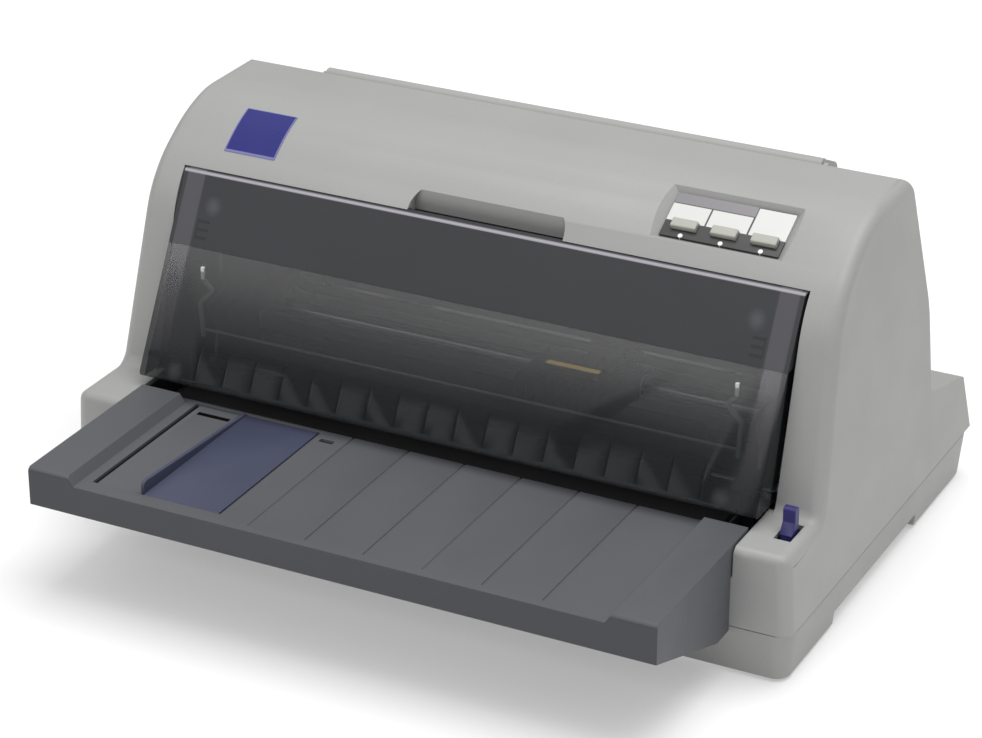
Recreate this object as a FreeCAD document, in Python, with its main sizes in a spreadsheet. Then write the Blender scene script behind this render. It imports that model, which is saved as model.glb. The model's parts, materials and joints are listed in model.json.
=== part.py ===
import FreeCAD, Part
import math
import os
import Sketcher

# Driving sizes in millimetres, degrees where the name ends in turn, tilt or draft

CASE_SIZES = {
    "case_width": 468,
    "body_depth": 294.3,
    "tray_reach": 98.7,
    "case_height": 232,
    "seam_height": 31,
    "seam_gap": 0.4,
    "foot_gap": 2,
    "wall": 2.8,
    "case_side_lean": 12,
    "base_side_lean": 3,
    "base_corner": 9,
    "front_edge_round": 5,
    "crown_round": 10,
    "inner_corner_cut": 8,
    "tower_round": 8,
    "ledge_height": 80,
    "ledge_depth": 48.8,
    "ledge_fillet": 8,
    "brow_drop": 36.6,
    "brow_setback": 30.85,
    "brow_run": 48.85,
    "brow_round": 70,
    "crown_front_round": 88,
    "ridge_setback": 192.8,
    "ridge_round": 6,
    "knee_height": 142,
    "knee_setback": 28.5,
    "knee_round": 80,
    "shelf_setback": 32,
    "shelf_height": 84,
    "shelf_fillet": 4,
    "tail_lean": 12.5,
    "tail_height": 70.5,
    "tail_round": 4,
}
GRIP_SIZES = {
    "grip_front": 75,
    "grip_length": 132,
    "grip_depth": 22,
    "grip_rise": 8,
    "foot_radius": 9,
    "foot_sink": 1.5,
    "foot_inset": 24,
    "post_radius": 5.5,
    "post_inset": 19,
    "screw_head_radius": 3.4,
    "screw_head_height": 2,
    "fit_gap": 0.3,
    "running_gap": 0.06,
    "overrun": 4,
}
COVER_SIZES = {
    "cover_inset": 32.8,
    "opening_gap": 1.8,
    "cover_wall": 2.4,
    "cover_top_drop": 32.5,
    "cover_top_setback": 86,
    "cover_foot_height": 85.4,
    "cover_foot_setback": 23.2,
    "cover_foot_round": 3,
    "cover_top_round": 1.8,
    "cover_pivot_height": 96,
    "cover_pivot_setback": 37.8,
    "cover_pin_radius": 2.2,
    "hinge_post_width": 8,
    "hinge_post_depth": 8,
    "hinge_reach": 14,
    "hinge_arm_half": 3.2,
    "hinge_foot_height": 42,
    "comb_pitch": 19.4,
    "comb_depth": 2.4,
    "comb_width": 1.2,
    "comb_height": 17,
    "comb_lift": 4,
    "comb_end_gap": 23.7,
    "recess_half": 50.5,
    "recess_drop": 19.5,
    "recess_depth": 19,
    "recess_round": 12,
    "rear_half": 166,
    "rear_side_gap": 0.6,
    "rear_cover_back": 129,
    "rear_cover_drop": 10.5,
    "rear_cover_lean": 5,
    "rear_cover_foot": 93,
    "rear_cover_wall": 2.4,
    "rear_cover_round": 8,
    "rear_pin_radius": 2.5,
    "rear_bead_radius": 5,
}
TRAY_SIZES = {
    "tray_inset": 36,
    "mouth_side_gap": 0.5,
    "tray_height": 82,
    "tray_lip": 24,
    "tray_root_height": 28,
    "tray_root_gap": 16,
    "mouth_height": 62,
    "tray_floor_height": 76,
    "tray_floor_thick": 2.4,
    "tray_back_setback": 29,
    "rail_back_setback": 23,
    "rail_width": 26.5,
    "rail_slope": 4,
    "tray_edge_round": 3,
    "groove_pitch": 36.7,
    "groove_first": -55.4,
    "groove_width": 1.2,
    "groove_depth": 0.8,
    "groove_end_gap": 7,
    "guide_bed_left": -161.5,
    "guide_bed_width": 85.5,
    "guide_bed_front": 11.3,
    "guide_bed_depth": 1.5,
    "guide_width": 51.2,
    "guide_side_gap": 1.6,
    "guide_thick": 1.3,
    "guide_fence_height": 9.3,
    "guide_fence_rear": 2.6,
    "guide_fence_thick": 2.2,
    "guide_fence_round": 3,
    "guide_rear_gap": 3,
    "bed_groove_width": 1.6,
    "bed_groove_depth": 1.2,
    "bed_slot_inset": 5.5,
    "bed_slot_width": 22,
    "bed_slot_depth": 3.8,
    "bed_slot_back_gap": 9.4,
    "bed_end_slot_gap": 4,
    "bed_end_slot_width": 9,
    "lever_inset": 15.3,
    "lever_slot_width": 10.2,
    "lever_slot_length": 20.5,
    "lever_slot_front": 21,
    "lever_thick": 7.6,
    "lever_depth": 7,
    "lever_boot_depth": 9.6,
    "lever_thumb_depth": 5.4,
    "lever_toe_rise": 6.5,
    "lever_neck_drop": 5,
    "lever_rise": 15,
    "lever_pivot_height": 44,
    "lever_pin_radius": 3,
}
PANEL_SIZES = {
    "panel_left": 100.5,
    "panel_width": 80.5,
    "panel_slope_length": 39,
    "panel_setback": 18.6,
    "panel_tilt": 29,
    "panel_recess": 1.8,
    "panel_bevel": 3.4,
    "panel_plate_thick": 1.6,
    "button_pitch": 24.6,
    "button_first": 16.5,
    "button_rise": 12.5,
    "button_width": 15.6,
    "button_depth": 6.2,
    "button_proud": 3,
    "button_travel": 1.2,
    "button_stem": 7,
    "lens_radius": 1.5,
    "lens_rise": 5.2,
    "panel_board_thick": 1.6,
}
FRAME_SIZES = {
    "frame_offset": 180,
    "frame_thick": 2,
    "frame_floor": 13.5,
    "frame_front_setback": 31.8,
    "frame_waist_setback": 75.8,
    "frame_brow_setback": 87.8,
    "frame_notch_setback": 96.5,
    "frame_rear_setback": 219,
    "frame_foot_top": 73,
    "frame_waist_top": 118,
    "frame_notch_height": 124,
    "frame_notch_top": 134,
    "frame_top": 150,
    "base_plate_thick": 1.5,
    "base_plate_half": 205,
    "base_plate_margin": 12,
    "beam_height": 14,
    "beam_depth": 18,
    "beam_thick": 1.6,
    "flange_width": 12,
}
PAPER_SIZES = {
    "paper_lift": 0.5,
    "paper_thick": 0.3,
    "platen_setback": 101.8,
    "platen_radius": 12,
    "platen_half": 140,
    "platen_shaft_radius": 4,
    "feed_radius": 7,
    "feed_shaft_radius": 3,
    "front_feed_lead": 22,
    "rear_feed_lag": 20,
    "feed_half": 128,
    "pinch_radius": 4.5,
    "pinch_shaft_radius": 2,
    "guide_plate_thick": 2,
    "front_guide_gap": 3,
    "tractor_pitch_half": 114,
    "tractor_width": 18,
    "tractor_front_lag": 74,
    "tractor_length": 46,
    "tractor_floor": 56,
    "tractor_rod_lag": 82,
    "tractor_rod_radius": 4,
    "tractor_rod_drop": 12,
    "tractor_drive_lag": 108,
    "tractor_square": 6,
    "sprocket_radius": 10.4,
    "sprocket_width": 5,
    "sprocket_pin_radius": 0.9,
    "sprocket_pin_height": 1.8,
    "flap_thick": 2,
    "flap_lift": 3.2,
}
DRIVE_SIZES = {
    "gear_module": 0.8,
    "gear_width": 6,
    "gear_gap": 2.5,
    "platen_teeth": 48,
    "idler_teeth": 40,
    "pinion_teeth": 12,
    "tractor_teeth": 42,
    "hub_teeth": 24,
    "side_idler_teeth": 20,
    "feed_teeth": 14,
    "stub_radius": 2.5,
    "motor_radius": 17,
    "feed_motor_length": 28,
    "motor_shaft_radius": 2,
    "carriage_motor_length": 32,
}
HEAD_SIZES = {
    "shaft_lag": 40,
    "shaft_radius": 6,
    "shaft_height": 91,
    "bush_wall": 1.2,
    "carriage_offset": 52,
    "carriage_half": 28,
    "carriage_front_lag": 27,
    "carriage_back_lag": 50,
    "carriage_floor": 82.6,
    "carriage_top": 99.5,
    "arm_half": 12,
    "rail_height": 80,
    "rail_front_lag": 42,
    "rail_lip_lag": 67.5,
    "rail_lip_top": 96.5,
    "rail_thick": 1.5,
    "slipper_lip": 3.4,
    "head_half": 29,
    "head_front_lead": 20,
    "head_floor": 89.5,
    "head_top": 111,
    "fin_count": 9,
    "fin_thick": 1.6,
    "fin_root": 97,
    "nose_half": 9,
    "nose_depth": 8,
    "nose_foot": 78.9,
    "clamp_half": 18.5,
    "clamp_depth": 9,
    "clamp_height": 3.6,
    "pulley_offset": 158,
    "pulley_lag": 56,
    "pulley_radius": 8,
    "pulley_floor": 100.4,
    "pulley_height": 8,
    "belt_thick": 1.2,
    "belt_height": 6,
    "ribbon_width": 13,
    "ribbon_thick": 0.3,
    "ribbon_height": 77.9,
    "arm_inner": 168,
    "cartridge_floor": 100,
    "cartridge_height": 16,
    "cartridge_front_lag": 80,
    "cartridge_back_lag": 108,
    "cartridge_half": 150,
    "arm_back_lag": 98,
    "cartridge_arm_height": 10,
    "knob_radius": 9,
    "knob_height": 7,
    "knob_inset": 26,
}
INNER_SIZES = {
    "board_left": -70,
    "board_width": 235,
    "board_front_lag": -60,
    "board_depth": 210,
    "board_thick": 1.6,
    "board_height": 22,
    "standoff_radius": 3,
    "chip_size": 24,
    "chip_height": 3,
    "supply_left": -166,
    "supply_width": 88,
    "supply_front_lag": 18,
    "supply_depth": 140,
    "supply_height": 21,
    "plate_lag": 20,
    "plate_floor": 15.5,
    "plate_height": 50,
    "plate_thick": 1.5,
    "power_bay_left": -194,
    "power_bay_width": 72,
    "port_bay_left": 40,
    "port_bay_width": 120,
    "bay_floor": 37,
    "bay_height": 25,
    "inlet_width": 27,
    "inlet_height": 20,
    "inlet_depth": 9,
    "socket_wall": 2,
    "switch_width": 13,
    "switch_height": 19,
    "parallel_width": 56,
    "parallel_height": 14,
    "usb_width": 12,
    "usb_height": 11,
}
GROUPS = [CASE_SIZES, GRIP_SIZES, COVER_SIZES, TRAY_SIZES, PANEL_SIZES, FRAME_SIZES, PAPER_SIZES,
          DRIVE_SIZES, HEAD_SIZES, INNER_SIZES]

# Counts of sides of moulded posts, hexagonal standoffs and feet, and of things that repeat
MOULDED_SIDES = 8
STANDOFF_SIDES = 6
FOOT_SIDES = 16
BUTTON_COUNT = 3
GROOVE_COUNT = 6
CHIP_COUNT = 4

# Tooth outline, as shares of the gear module
TOOTH_TIP_SHARE = 0.8
TOOTH_ROOT_SHARE = 1.2
TOOTH_FOOT_HALF_SHARE = 1.144
TOOTH_TIP_HALF_SHARE = 0.36


class Size:
    """A size, held as its value and as the sheet expression that gives it."""

    def __init__(self, value, text):
        self.value = value
        self.text = text

    def __add__(self, other):
        return joined(self, "+", other)

    def __radd__(self, other):
        return joined(other, "+", self)

    def __sub__(self, other):
        return joined(self, "-", other)

    def __rsub__(self, other):
        return joined(other, "-", self)

    def __mul__(self, other):
        return joined(self, "*", other)

    def __rmul__(self, other):
        return joined(other, "*", self)

    def __truediv__(self, other):
        return joined(self, "/", other)

    def __neg__(self):
        return joined(0, "-", self)


OPERATIONS = {
    "+": lambda a, b: a + b,
    "-": lambda a, b: a - b,
    "*": lambda a, b: a * b,
    "/": lambda a, b: a / b,
}


def value_of(size):
    return size.value if isinstance(size, Size) else float(size)


def text_of(size):
    return size.text if isinstance(size, Size) else repr(float(size))


def joined(first, sign, second):
    value = OPERATIONS[sign](value_of(first), value_of(second))
    return Size(value, "(%s %s %s)" % (text_of(first), sign, text_of(second)))


def sine(angle):
    return Size(math.sin(math.radians(value_of(angle))), "sin(%s)" % text_of(angle))


def cosine(angle):
    return Size(math.cos(math.radians(value_of(angle))), "cos(%s)" % text_of(angle))


def arc_cosine(share):
    value = math.degrees(math.acos(value_of(share)))
    return Size(value, "(acos(%s) / 1 deg)" % text_of(share))


def bearing(rise, run):
    value = math.degrees(math.atan2(value_of(rise), value_of(run)))
    return Size(value, "(atan2(%s; %s) / 1 deg)" % (text_of(rise), text_of(run)))


def distance(rise, run):
    square = rise * rise + run * run
    return Size(math.sqrt(square.value), "sqrt(%s)" % square.text)


doc = FreeCAD.newDocument("printer")
sheet = doc.addObject("Spreadsheet::Sheet", "Sizes")


class Sizes:
    """Every driving size, by name."""


s = Sizes()


def fill_sheet():
    row = 0
    for group in GROUPS:
        for name, number in group.items():
            row += 1
            sheet.set("A%d" % row, name)
            sheet.set("B%d" % row, str(number))
            sheet.setAlias("B%d" % row, name)
            setattr(s, name, Size(float(number), "Sizes." + name))
    doc.recompute()


fill_sheet()


# Shape helpers

def vector(x, y, z):
    return FreeCAD.Vector(x, y, z)


X_AXIS = vector(1, 0, 0)
Y_AXIS = vector(0, 1, 0)
Z_AXIS = vector(0, 0, 1)
AXES = {"x": FreeCAD.Rotation(Y_AXIS, 90), "y": FreeCAD.Rotation(X_AXIS, -90), "z": FreeCAD.Rotation()}


def bind(item, field, size):
    if isinstance(size, Size):
        item.setExpression(field, size.text)


def place(item, x, y, z, rotation=None):
    base = vector(value_of(x), value_of(y), value_of(z))
    item.Placement = FreeCAD.Placement(base, rotation or FreeCAD.Rotation())
    bind(item, "Placement.Base.x", x)
    bind(item, "Placement.Base.y", y)
    bind(item, "Placement.Base.z", z)
    return item


def turn(item, axis, angle):
    """Turn an item about one axis by an angle that follows the sheet."""
    base = item.Placement.Base
    item.Placement = FreeCAD.Placement(base, FreeCAD.Rotation(axis, value_of(angle)))
    bind(item, "Placement.Rotation.Angle", angle)
    return item


def block(name, x_pair, y_pair, z_pair):
    item = doc.addObject("Part::Box", name)
    for field, pair in (("Length", x_pair), ("Width", y_pair), ("Height", z_pair)):
        size = pair[1] - pair[0]
        setattr(item, field, value_of(size))
        bind(item, field, size)
    return place(item, x_pair[0], y_pair[0], z_pair[0])


def rod(name, axis, start, length, radius):
    item = doc.addObject("Part::Cylinder", name)
    item.Radius = value_of(radius)
    item.Height = value_of(length)
    bind(item, "Radius", radius)
    bind(item, "Height", length)
    return place(item, start[0], start[1], start[2], AXES[axis])


def stud(name, start, height, radius, sides):
    """Upright post with flat sides, such as a moulded boss or a hexagonal standoff."""
    item = doc.addObject("Part::Prism", name)
    item.Polygon = sides
    item.Circumradius = value_of(radius)
    item.Height = value_of(height)
    bind(item, "Circumradius", radius)
    bind(item, "Height", height)
    return place(item, start[0], start[1], start[2])


def cut(name, base, *tools):
    item = doc.addObject("Part::Cut", name)
    item.Base = base
    item.Tool = tools[0] if len(tools) == 1 else fuse(name + "_tools", *tools)
    return item


def fuse(name, *parts):
    item = doc.addObject("Part::MultiFuse", name)
    item.Shapes = list(parts)
    return item


def common(name, *parts):
    item = doc.addObject("Part::MultiCommon", name)
    item.Shapes = list(parts)
    return item


def group(name, *parts):
    item = doc.addObject("Part::Compound", name)
    item.Links = list(parts)
    return item


def rounded(name, base, radius, wanted):
    """Round the edges whose middle point is wanted."""
    doc.recompute()
    edges = []
    for number, edge in enumerate(base.Shape.Edges, 1):
        middle = edge.valueAt((edge.FirstParameter + edge.LastParameter) / 2)
        if wanted(middle, edge):
            edges.append((number, radius.value, radius.value))
    item = doc.addObject("Part::Fillet", name)
    item.Base = base
    item.Edges = edges
    return item


def corner_arc(before, corner, after, radius):
    """Arc that rounds one corner, with its two tangent points, both along the path."""
    back = before.sub(corner).normalize()
    ahead = after.sub(corner).normalize()
    half = math.acos(back.dot(ahead)) / 2
    reach = radius / math.tan(half)
    middle = back.add(ahead).normalize()
    centre = corner.add(middle.multiply(radius / math.sin(half)))
    start = corner.add(vector(back.x, back.y, 0).multiply(reach))
    end = corner.add(vector(ahead.x, ahead.y, 0).multiply(reach))
    angles = [math.atan2(p.y - centre.y, p.x - centre.x) for p in (start, end)]
    left_turn = (back.negative()).cross(ahead).z > 0
    if not left_turn:
        angles.reverse()
    if angles[1] < angles[0]:
        angles[1] += 2 * math.pi
    circle = Part.Circle(centre, Z_AXIS, radius)
    return Part.ArcOfCircle(circle, angles[0], angles[1]), start, end, left_turn


def hold_point(sketch, geometry, vertex, point):
    """Tie a sketch point to its two sizes, measured from the origin."""
    for kind, axis, size in (("DistanceX", -2, point[0]), ("DistanceY", -1, point[1])):
        if value_of(size) == 0:
            sketch.addConstraint(Sketcher.Constraint("PointOnObject", geometry, vertex, axis))
            continue
        rule = Sketcher.Constraint(kind, -1, 1, geometry, vertex, value_of(size))
        number = sketch.addConstraint(rule)
        bind(sketch, "Constraints[%d]" % number, size)


def draw_outline(sketch, outline):
    """Closed outline of straight runs; a point with a third value has that corner radius."""
    count = len(outline)
    points = [vector(value_of(p[0]), value_of(p[1]), 0) for p in outline]
    corners = []
    for i, point in enumerate(outline):
        if len(point) > 2:
            corners.append(corner_arc(points[i - 1], points[i], points[(i + 1) % count], value_of(point[2])))
        else:
            corners.append(None)
    lines = []
    for i in range(count):
        start = corners[i][2] if corners[i] else points[i]
        following = corners[(i + 1) % count]
        end = following[1] if following else points[(i + 1) % count]
        lines.append(sketch.addGeometry(Part.LineSegment(start, end), False))
    for i, point in enumerate(outline):
        before = lines[i - 1]
        after = lines[i]
        if corners[i] is None:
            sketch.addConstraint(Sketcher.Constraint("Coincident", before, 2, after, 1))
            hold_point(sketch, after, 1, point)
            continue
        arc, _, _, left_turn = corners[i]
        bend = sketch.addGeometry(arc, False)
        mark = sketch.addGeometry(Part.Point(points[i]), True)
        first, last = (1, 2) if left_turn else (2, 1)
        sketch.addConstraint(Sketcher.Constraint("Tangent", before, 2, bend, first))
        sketch.addConstraint(Sketcher.Constraint("Tangent", bend, last, after, 1))
        number = sketch.addConstraint(Sketcher.Constraint("Radius", bend, value_of(point[2])))
        bind(sketch, "Constraints[%d]" % number, point[2])
        sketch.addConstraint(Sketcher.Constraint("PointOnObject", mark, 1, before))
        sketch.addConstraint(Sketcher.Constraint("PointOnObject", mark, 1, after))
        hold_point(sketch, mark, 1, point)


def draw_circle(sketch, centre, radius):
    middle = vector(value_of(centre[0]), value_of(centre[1]), 0)
    ring = sketch.addGeometry(Part.Circle(middle, Z_AXIS, value_of(radius)), False)
    number = sketch.addConstraint(Sketcher.Constraint("Radius", ring, value_of(radius)))
    bind(sketch, "Constraints[%d]" % number, radius)
    if value_of(centre[0]) == 0 and value_of(centre[1]) == 0:
        sketch.addConstraint(Sketcher.Constraint("Coincident", ring, 3, -1, 1))
    else:
        hold_point(sketch, ring, 3, centre)


def new_sketch(body, role, name):
    sketch = body.newObject("Sketcher::SketchObject", name)
    plane = [item for item in body.Origin.OriginFeatures if item.Role == role][0]
    sketch.AttachmentSupport = [(plane, "")]
    sketch.MapMode = "FlatFace"
    return sketch


def pad(body, name, sketch, length):
    feature = body.newObject("PartDesign::Pad", name)
    feature.Profile = sketch
    feature.Length = value_of(length)
    bind(feature, "Length", length)
    return feature


def prism(name, plane, outline, low, high, holes=(), taper=None):
    """Body with one sketched outline, padded from low to high across its plane."""
    body = doc.addObject("PartDesign::Body", name)
    sketch = new_sketch(body, plane + "_Plane", name + "_outline")
    draw_outline(sketch, outline)
    for centre, radius in holes:
        draw_circle(sketch, centre, radius)
    feature = pad(body, name + "_pad", sketch, high - low)
    feature.Reversed = plane == "XZ"
    if taper is not None:
        feature.TaperAngle = value_of(taper)
        bind(feature, "TaperAngle", taper)
    low_by_plane = {"XY": (0, 0, low), "XZ": (0, low, 0), "YZ": (low, 0, 0)}
    return place(body, *low_by_plane[plane])


def mirror_pair(low, high, side):
    """The same span on the left (-1) or right (+1), in rising order."""
    return (low, high) if side > 0 else (-high, -low)


def gear(name, teeth, bore, x_pair, centre, phase):
    """Spur gear on an axis along X: a drilled disc and one tooth, patterned round it."""
    pitch = teeth * s.gear_module / 2
    root = pitch - s.gear_module * TOOTH_ROOT_SHARE
    tip = pitch + s.gear_module * TOOTH_TIP_SHARE
    foot = root - s.gear_module * TOOTH_TIP_SHARE
    body = doc.addObject("PartDesign::Body", name)
    disc = new_sketch(body, "YZ_Plane", name + "_disc")
    draw_circle(disc, (0, 0), root)
    draw_circle(disc, (0, 0), bore)
    pad(body, name + "_blank", disc, x_pair[1] - x_pair[0])
    tooth = new_sketch(body, "YZ_Plane", name + "_tooth")
    foot_half = s.gear_module * TOOTH_FOOT_HALF_SHARE
    tip_half = s.gear_module * TOOTH_TIP_HALF_SHARE
    draw_outline(tooth, [(foot, -foot_half), (tip, -tip_half), (tip, tip_half), (foot, foot_half)])
    tooth_pad = pad(body, name + "_tooth_pad", tooth, x_pair[1] - x_pair[0])
    pattern = body.newObject("PartDesign::PolarPattern", name + "_teeth")
    pattern.Originals = [tooth_pad]
    pattern.Axis = (disc, ["N_Axis"])
    pattern.Angle = 360
    pattern.Occurrences = int(value_of(teeth))
    bind(pattern, "Occurrences", teeth)
    body.Tip = pattern
    turn(body, X_AXIS, phase)
    return place(body, x_pair[0], centre[0], centre[1], body.Placement.Rotation)


NODES = {}


def node(name, item):
    """Give a finished sub-part its name and keep it for writing."""
    item.Label = name
    NODES[name] = item
    return item


# Stations that several pieces share

case_half = s.case_width / 2
cover_half = case_half - s.cover_inset
opening_half = cover_half + s.opening_gap
tray_half = case_half - s.tray_inset
tray_mouth_half = tray_half + s.mouth_side_gap
rail_inner = tray_half - s.rail_width
rear_cover_half = s.rear_half - s.rear_side_gap
lever_x = case_half - s.lever_inset
rear_y = (s.body_depth + s.tray_reach) / 2
front_y = rear_y - s.body_depth
tray_front_y = front_y - s.tray_reach
block_y = front_y + s.ledge_depth
brow_y = block_y + s.brow_setback
crown_y = brow_y + s.brow_run
ridge_y = front_y + s.ridge_setback
shelf_y = ridge_y + s.shelf_setback
tail_y = rear_y - s.tail_lean
upper_foot = s.seam_height + s.seam_gap
brow_height = s.case_height - s.brow_drop
cover_top = s.case_height - s.cover_top_drop
recess_top = s.case_height - s.recess_drop
paper_z = s.tray_floor_height + s.paper_lift
platen_y = front_y + s.platen_setback
platen_z = paper_z - s.platen_radius
frame_inner = s.frame_offset - s.frame_thick / 2
frame_outer = s.frame_offset + s.frame_thick / 2
over = s.overrun


def case_profile(inset):
    """Side outline of the upper case, moved inwards by an inset."""
    low = upper_foot if value_of(inset) == 0 else upper_foot - over
    rounds = 1 if value_of(inset) == 0 else 0
    corner = s.front_edge_round - inset
    return [
        (front_y + inset, low),
        (front_y + inset, s.ledge_height - inset, corner),
        (block_y + inset, s.ledge_height - inset, s.ledge_fillet + inset),
        (brow_y + inset, brow_height - inset / 2, s.brow_round - inset),
        (crown_y + inset / 2, s.case_height - inset, s.crown_front_round - inset),
        (ridge_y - inset, s.case_height - inset, s.ridge_round - inset * rounds),
        (ridge_y + s.knee_setback - inset, s.knee_height, s.knee_round),
        (shelf_y - inset, s.shelf_height - inset, s.shelf_fillet + inset),
        (tail_y - inset, s.tail_height - inset, s.tail_round),
        (rear_y - inset, low),
    ]


def case_front_view(inset):
    """Front outline of the upper case: side walls that lean in, with rounded top edges."""
    top = case_half - s.case_side_lean - inset
    foot = case_half - inset
    low = upper_foot if value_of(inset) == 0 else upper_foot - over
    height = s.case_height - inset
    if value_of(inset) == 0:
        return [(-foot, low), (foot, low), (top, height, s.crown_round), (-top, height, s.crown_round)]
    cut_by = s.inner_corner_cut
    return [(-foot, low), (foot, low), (top, height - cut_by), (top - cut_by, height), (cut_by - top, height),
            (-top, height - cut_by)]


def case_form(name, inset):
    side = prism(name + "_side", "YZ", case_profile(inset), -case_half, case_half)
    front = prism(name + "_front", "XZ", case_front_view(inset), front_y - over, rear_y + over)
    return common(name, side, front)


def window_profile():
    """Side outline of what is taken out of the case for the front cover."""
    return [
        (front_y - over, s.ledge_height + s.fit_gap),
        (front_y - over, cover_top + over),
        (brow_y + s.cover_wall * 5, cover_top + s.fit_gap),
        (platen_y + s.head_front_lead, cover_top - s.recess_depth),
        (platen_y + s.head_front_lead, s.ledge_height + s.fit_gap),
    ]


def panel_slab(name, margin, low, high):
    """Slab that lies in the plane of the control panel, wider than it by a margin."""
    width = s.panel_width + margin * 2
    length = s.panel_slope_length + margin * 2
    item = doc.addObject("Part::Box", name)
    for field, size in (("Length", width), ("Width", length), ("Height", high - low)):
        setattr(item, field, value_of(size))
        bind(item, field, size)
    return on_panel(item, -margin, -margin, low)


def panel_point(across, rise, lift):
    """Place on the control panel: across it, up its slope and out of it."""
    base_y = brow_y + s.panel_setback
    base_z = brow_height + s.panel_setback * (s.case_height - brow_height) / s.brow_run
    y = base_y + rise * cosine(s.panel_tilt) - lift * sine(s.panel_tilt)
    z = base_z + rise * sine(s.panel_tilt) + lift * cosine(s.panel_tilt)
    return s.panel_left + across, y, z


def on_panel(item, across, rise, lift):
    turn(item, X_AXIS, s.panel_tilt)
    x, y, z = panel_point(across, rise, lift)
    return place(item, x, y, z, item.Placement.Rotation)


def panel_recess_tool():
    """Bevelled pocket of the control panel."""
    body = doc.addObject("PartDesign::Body", "panel_recess")
    sketch = new_sketch(body, "XY_Plane", "panel_recess_outline")
    low = s.panel_bevel
    wide = s.panel_width - s.panel_bevel
    long = s.panel_slope_length - s.panel_bevel
    draw_outline(sketch, [(low, low), (wide, low), (wide, long), (low, long)])
    height = s.panel_bevel + over
    feature = pad(body, "panel_recess_pad", sketch, height)
    slant = bearing(s.panel_bevel, s.panel_recess + s.panel_plate_thick)
    feature.TaperAngle = slant.value
    bind(feature, "TaperAngle", slant)
    return on_panel(body, 0, 0, -s.panel_recess - s.panel_plate_thick)


def board_lift():
    """Height of the panel board's face, below the button stems."""
    return -s.panel_recess - s.button_stem - s.button_travel - s.fit_gap


def panel_pillars():
    """Two pillars that carry the board behind the control panel."""
    items = []
    inset = s.panel_bevel + s.post_radius / 2
    for number, across in enumerate((inset, s.panel_width - inset), 1):
        pillar = stud("panel_pillar_%d" % number, (0 * inset, 0 * inset, 0 * inset), -board_lift() - s.panel_recess,
                      s.post_radius / 2, MOULDED_SIDES)
        items.append(on_panel(pillar, across, s.panel_slope_length - inset, board_lift()))
    return items


def cheek(name, outer, side, inner_x, y_pair, z_pair):
    """Inner wall beside an opening, clipped to the outside of the case."""
    x_pair = mirror_pair(inner_x, inner_x + s.wall, side)
    slab = block(name + "_slab", x_pair, y_pair, z_pair)
    return common(name, outer, slab)


def post_places():
    """Plan positions of the four screw posts."""
    x = case_half - s.post_inset
    return [(x * side, y) for side in (-1, 1) for y in (front_y + s.post_inset, rear_y - s.post_inset)]


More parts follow.
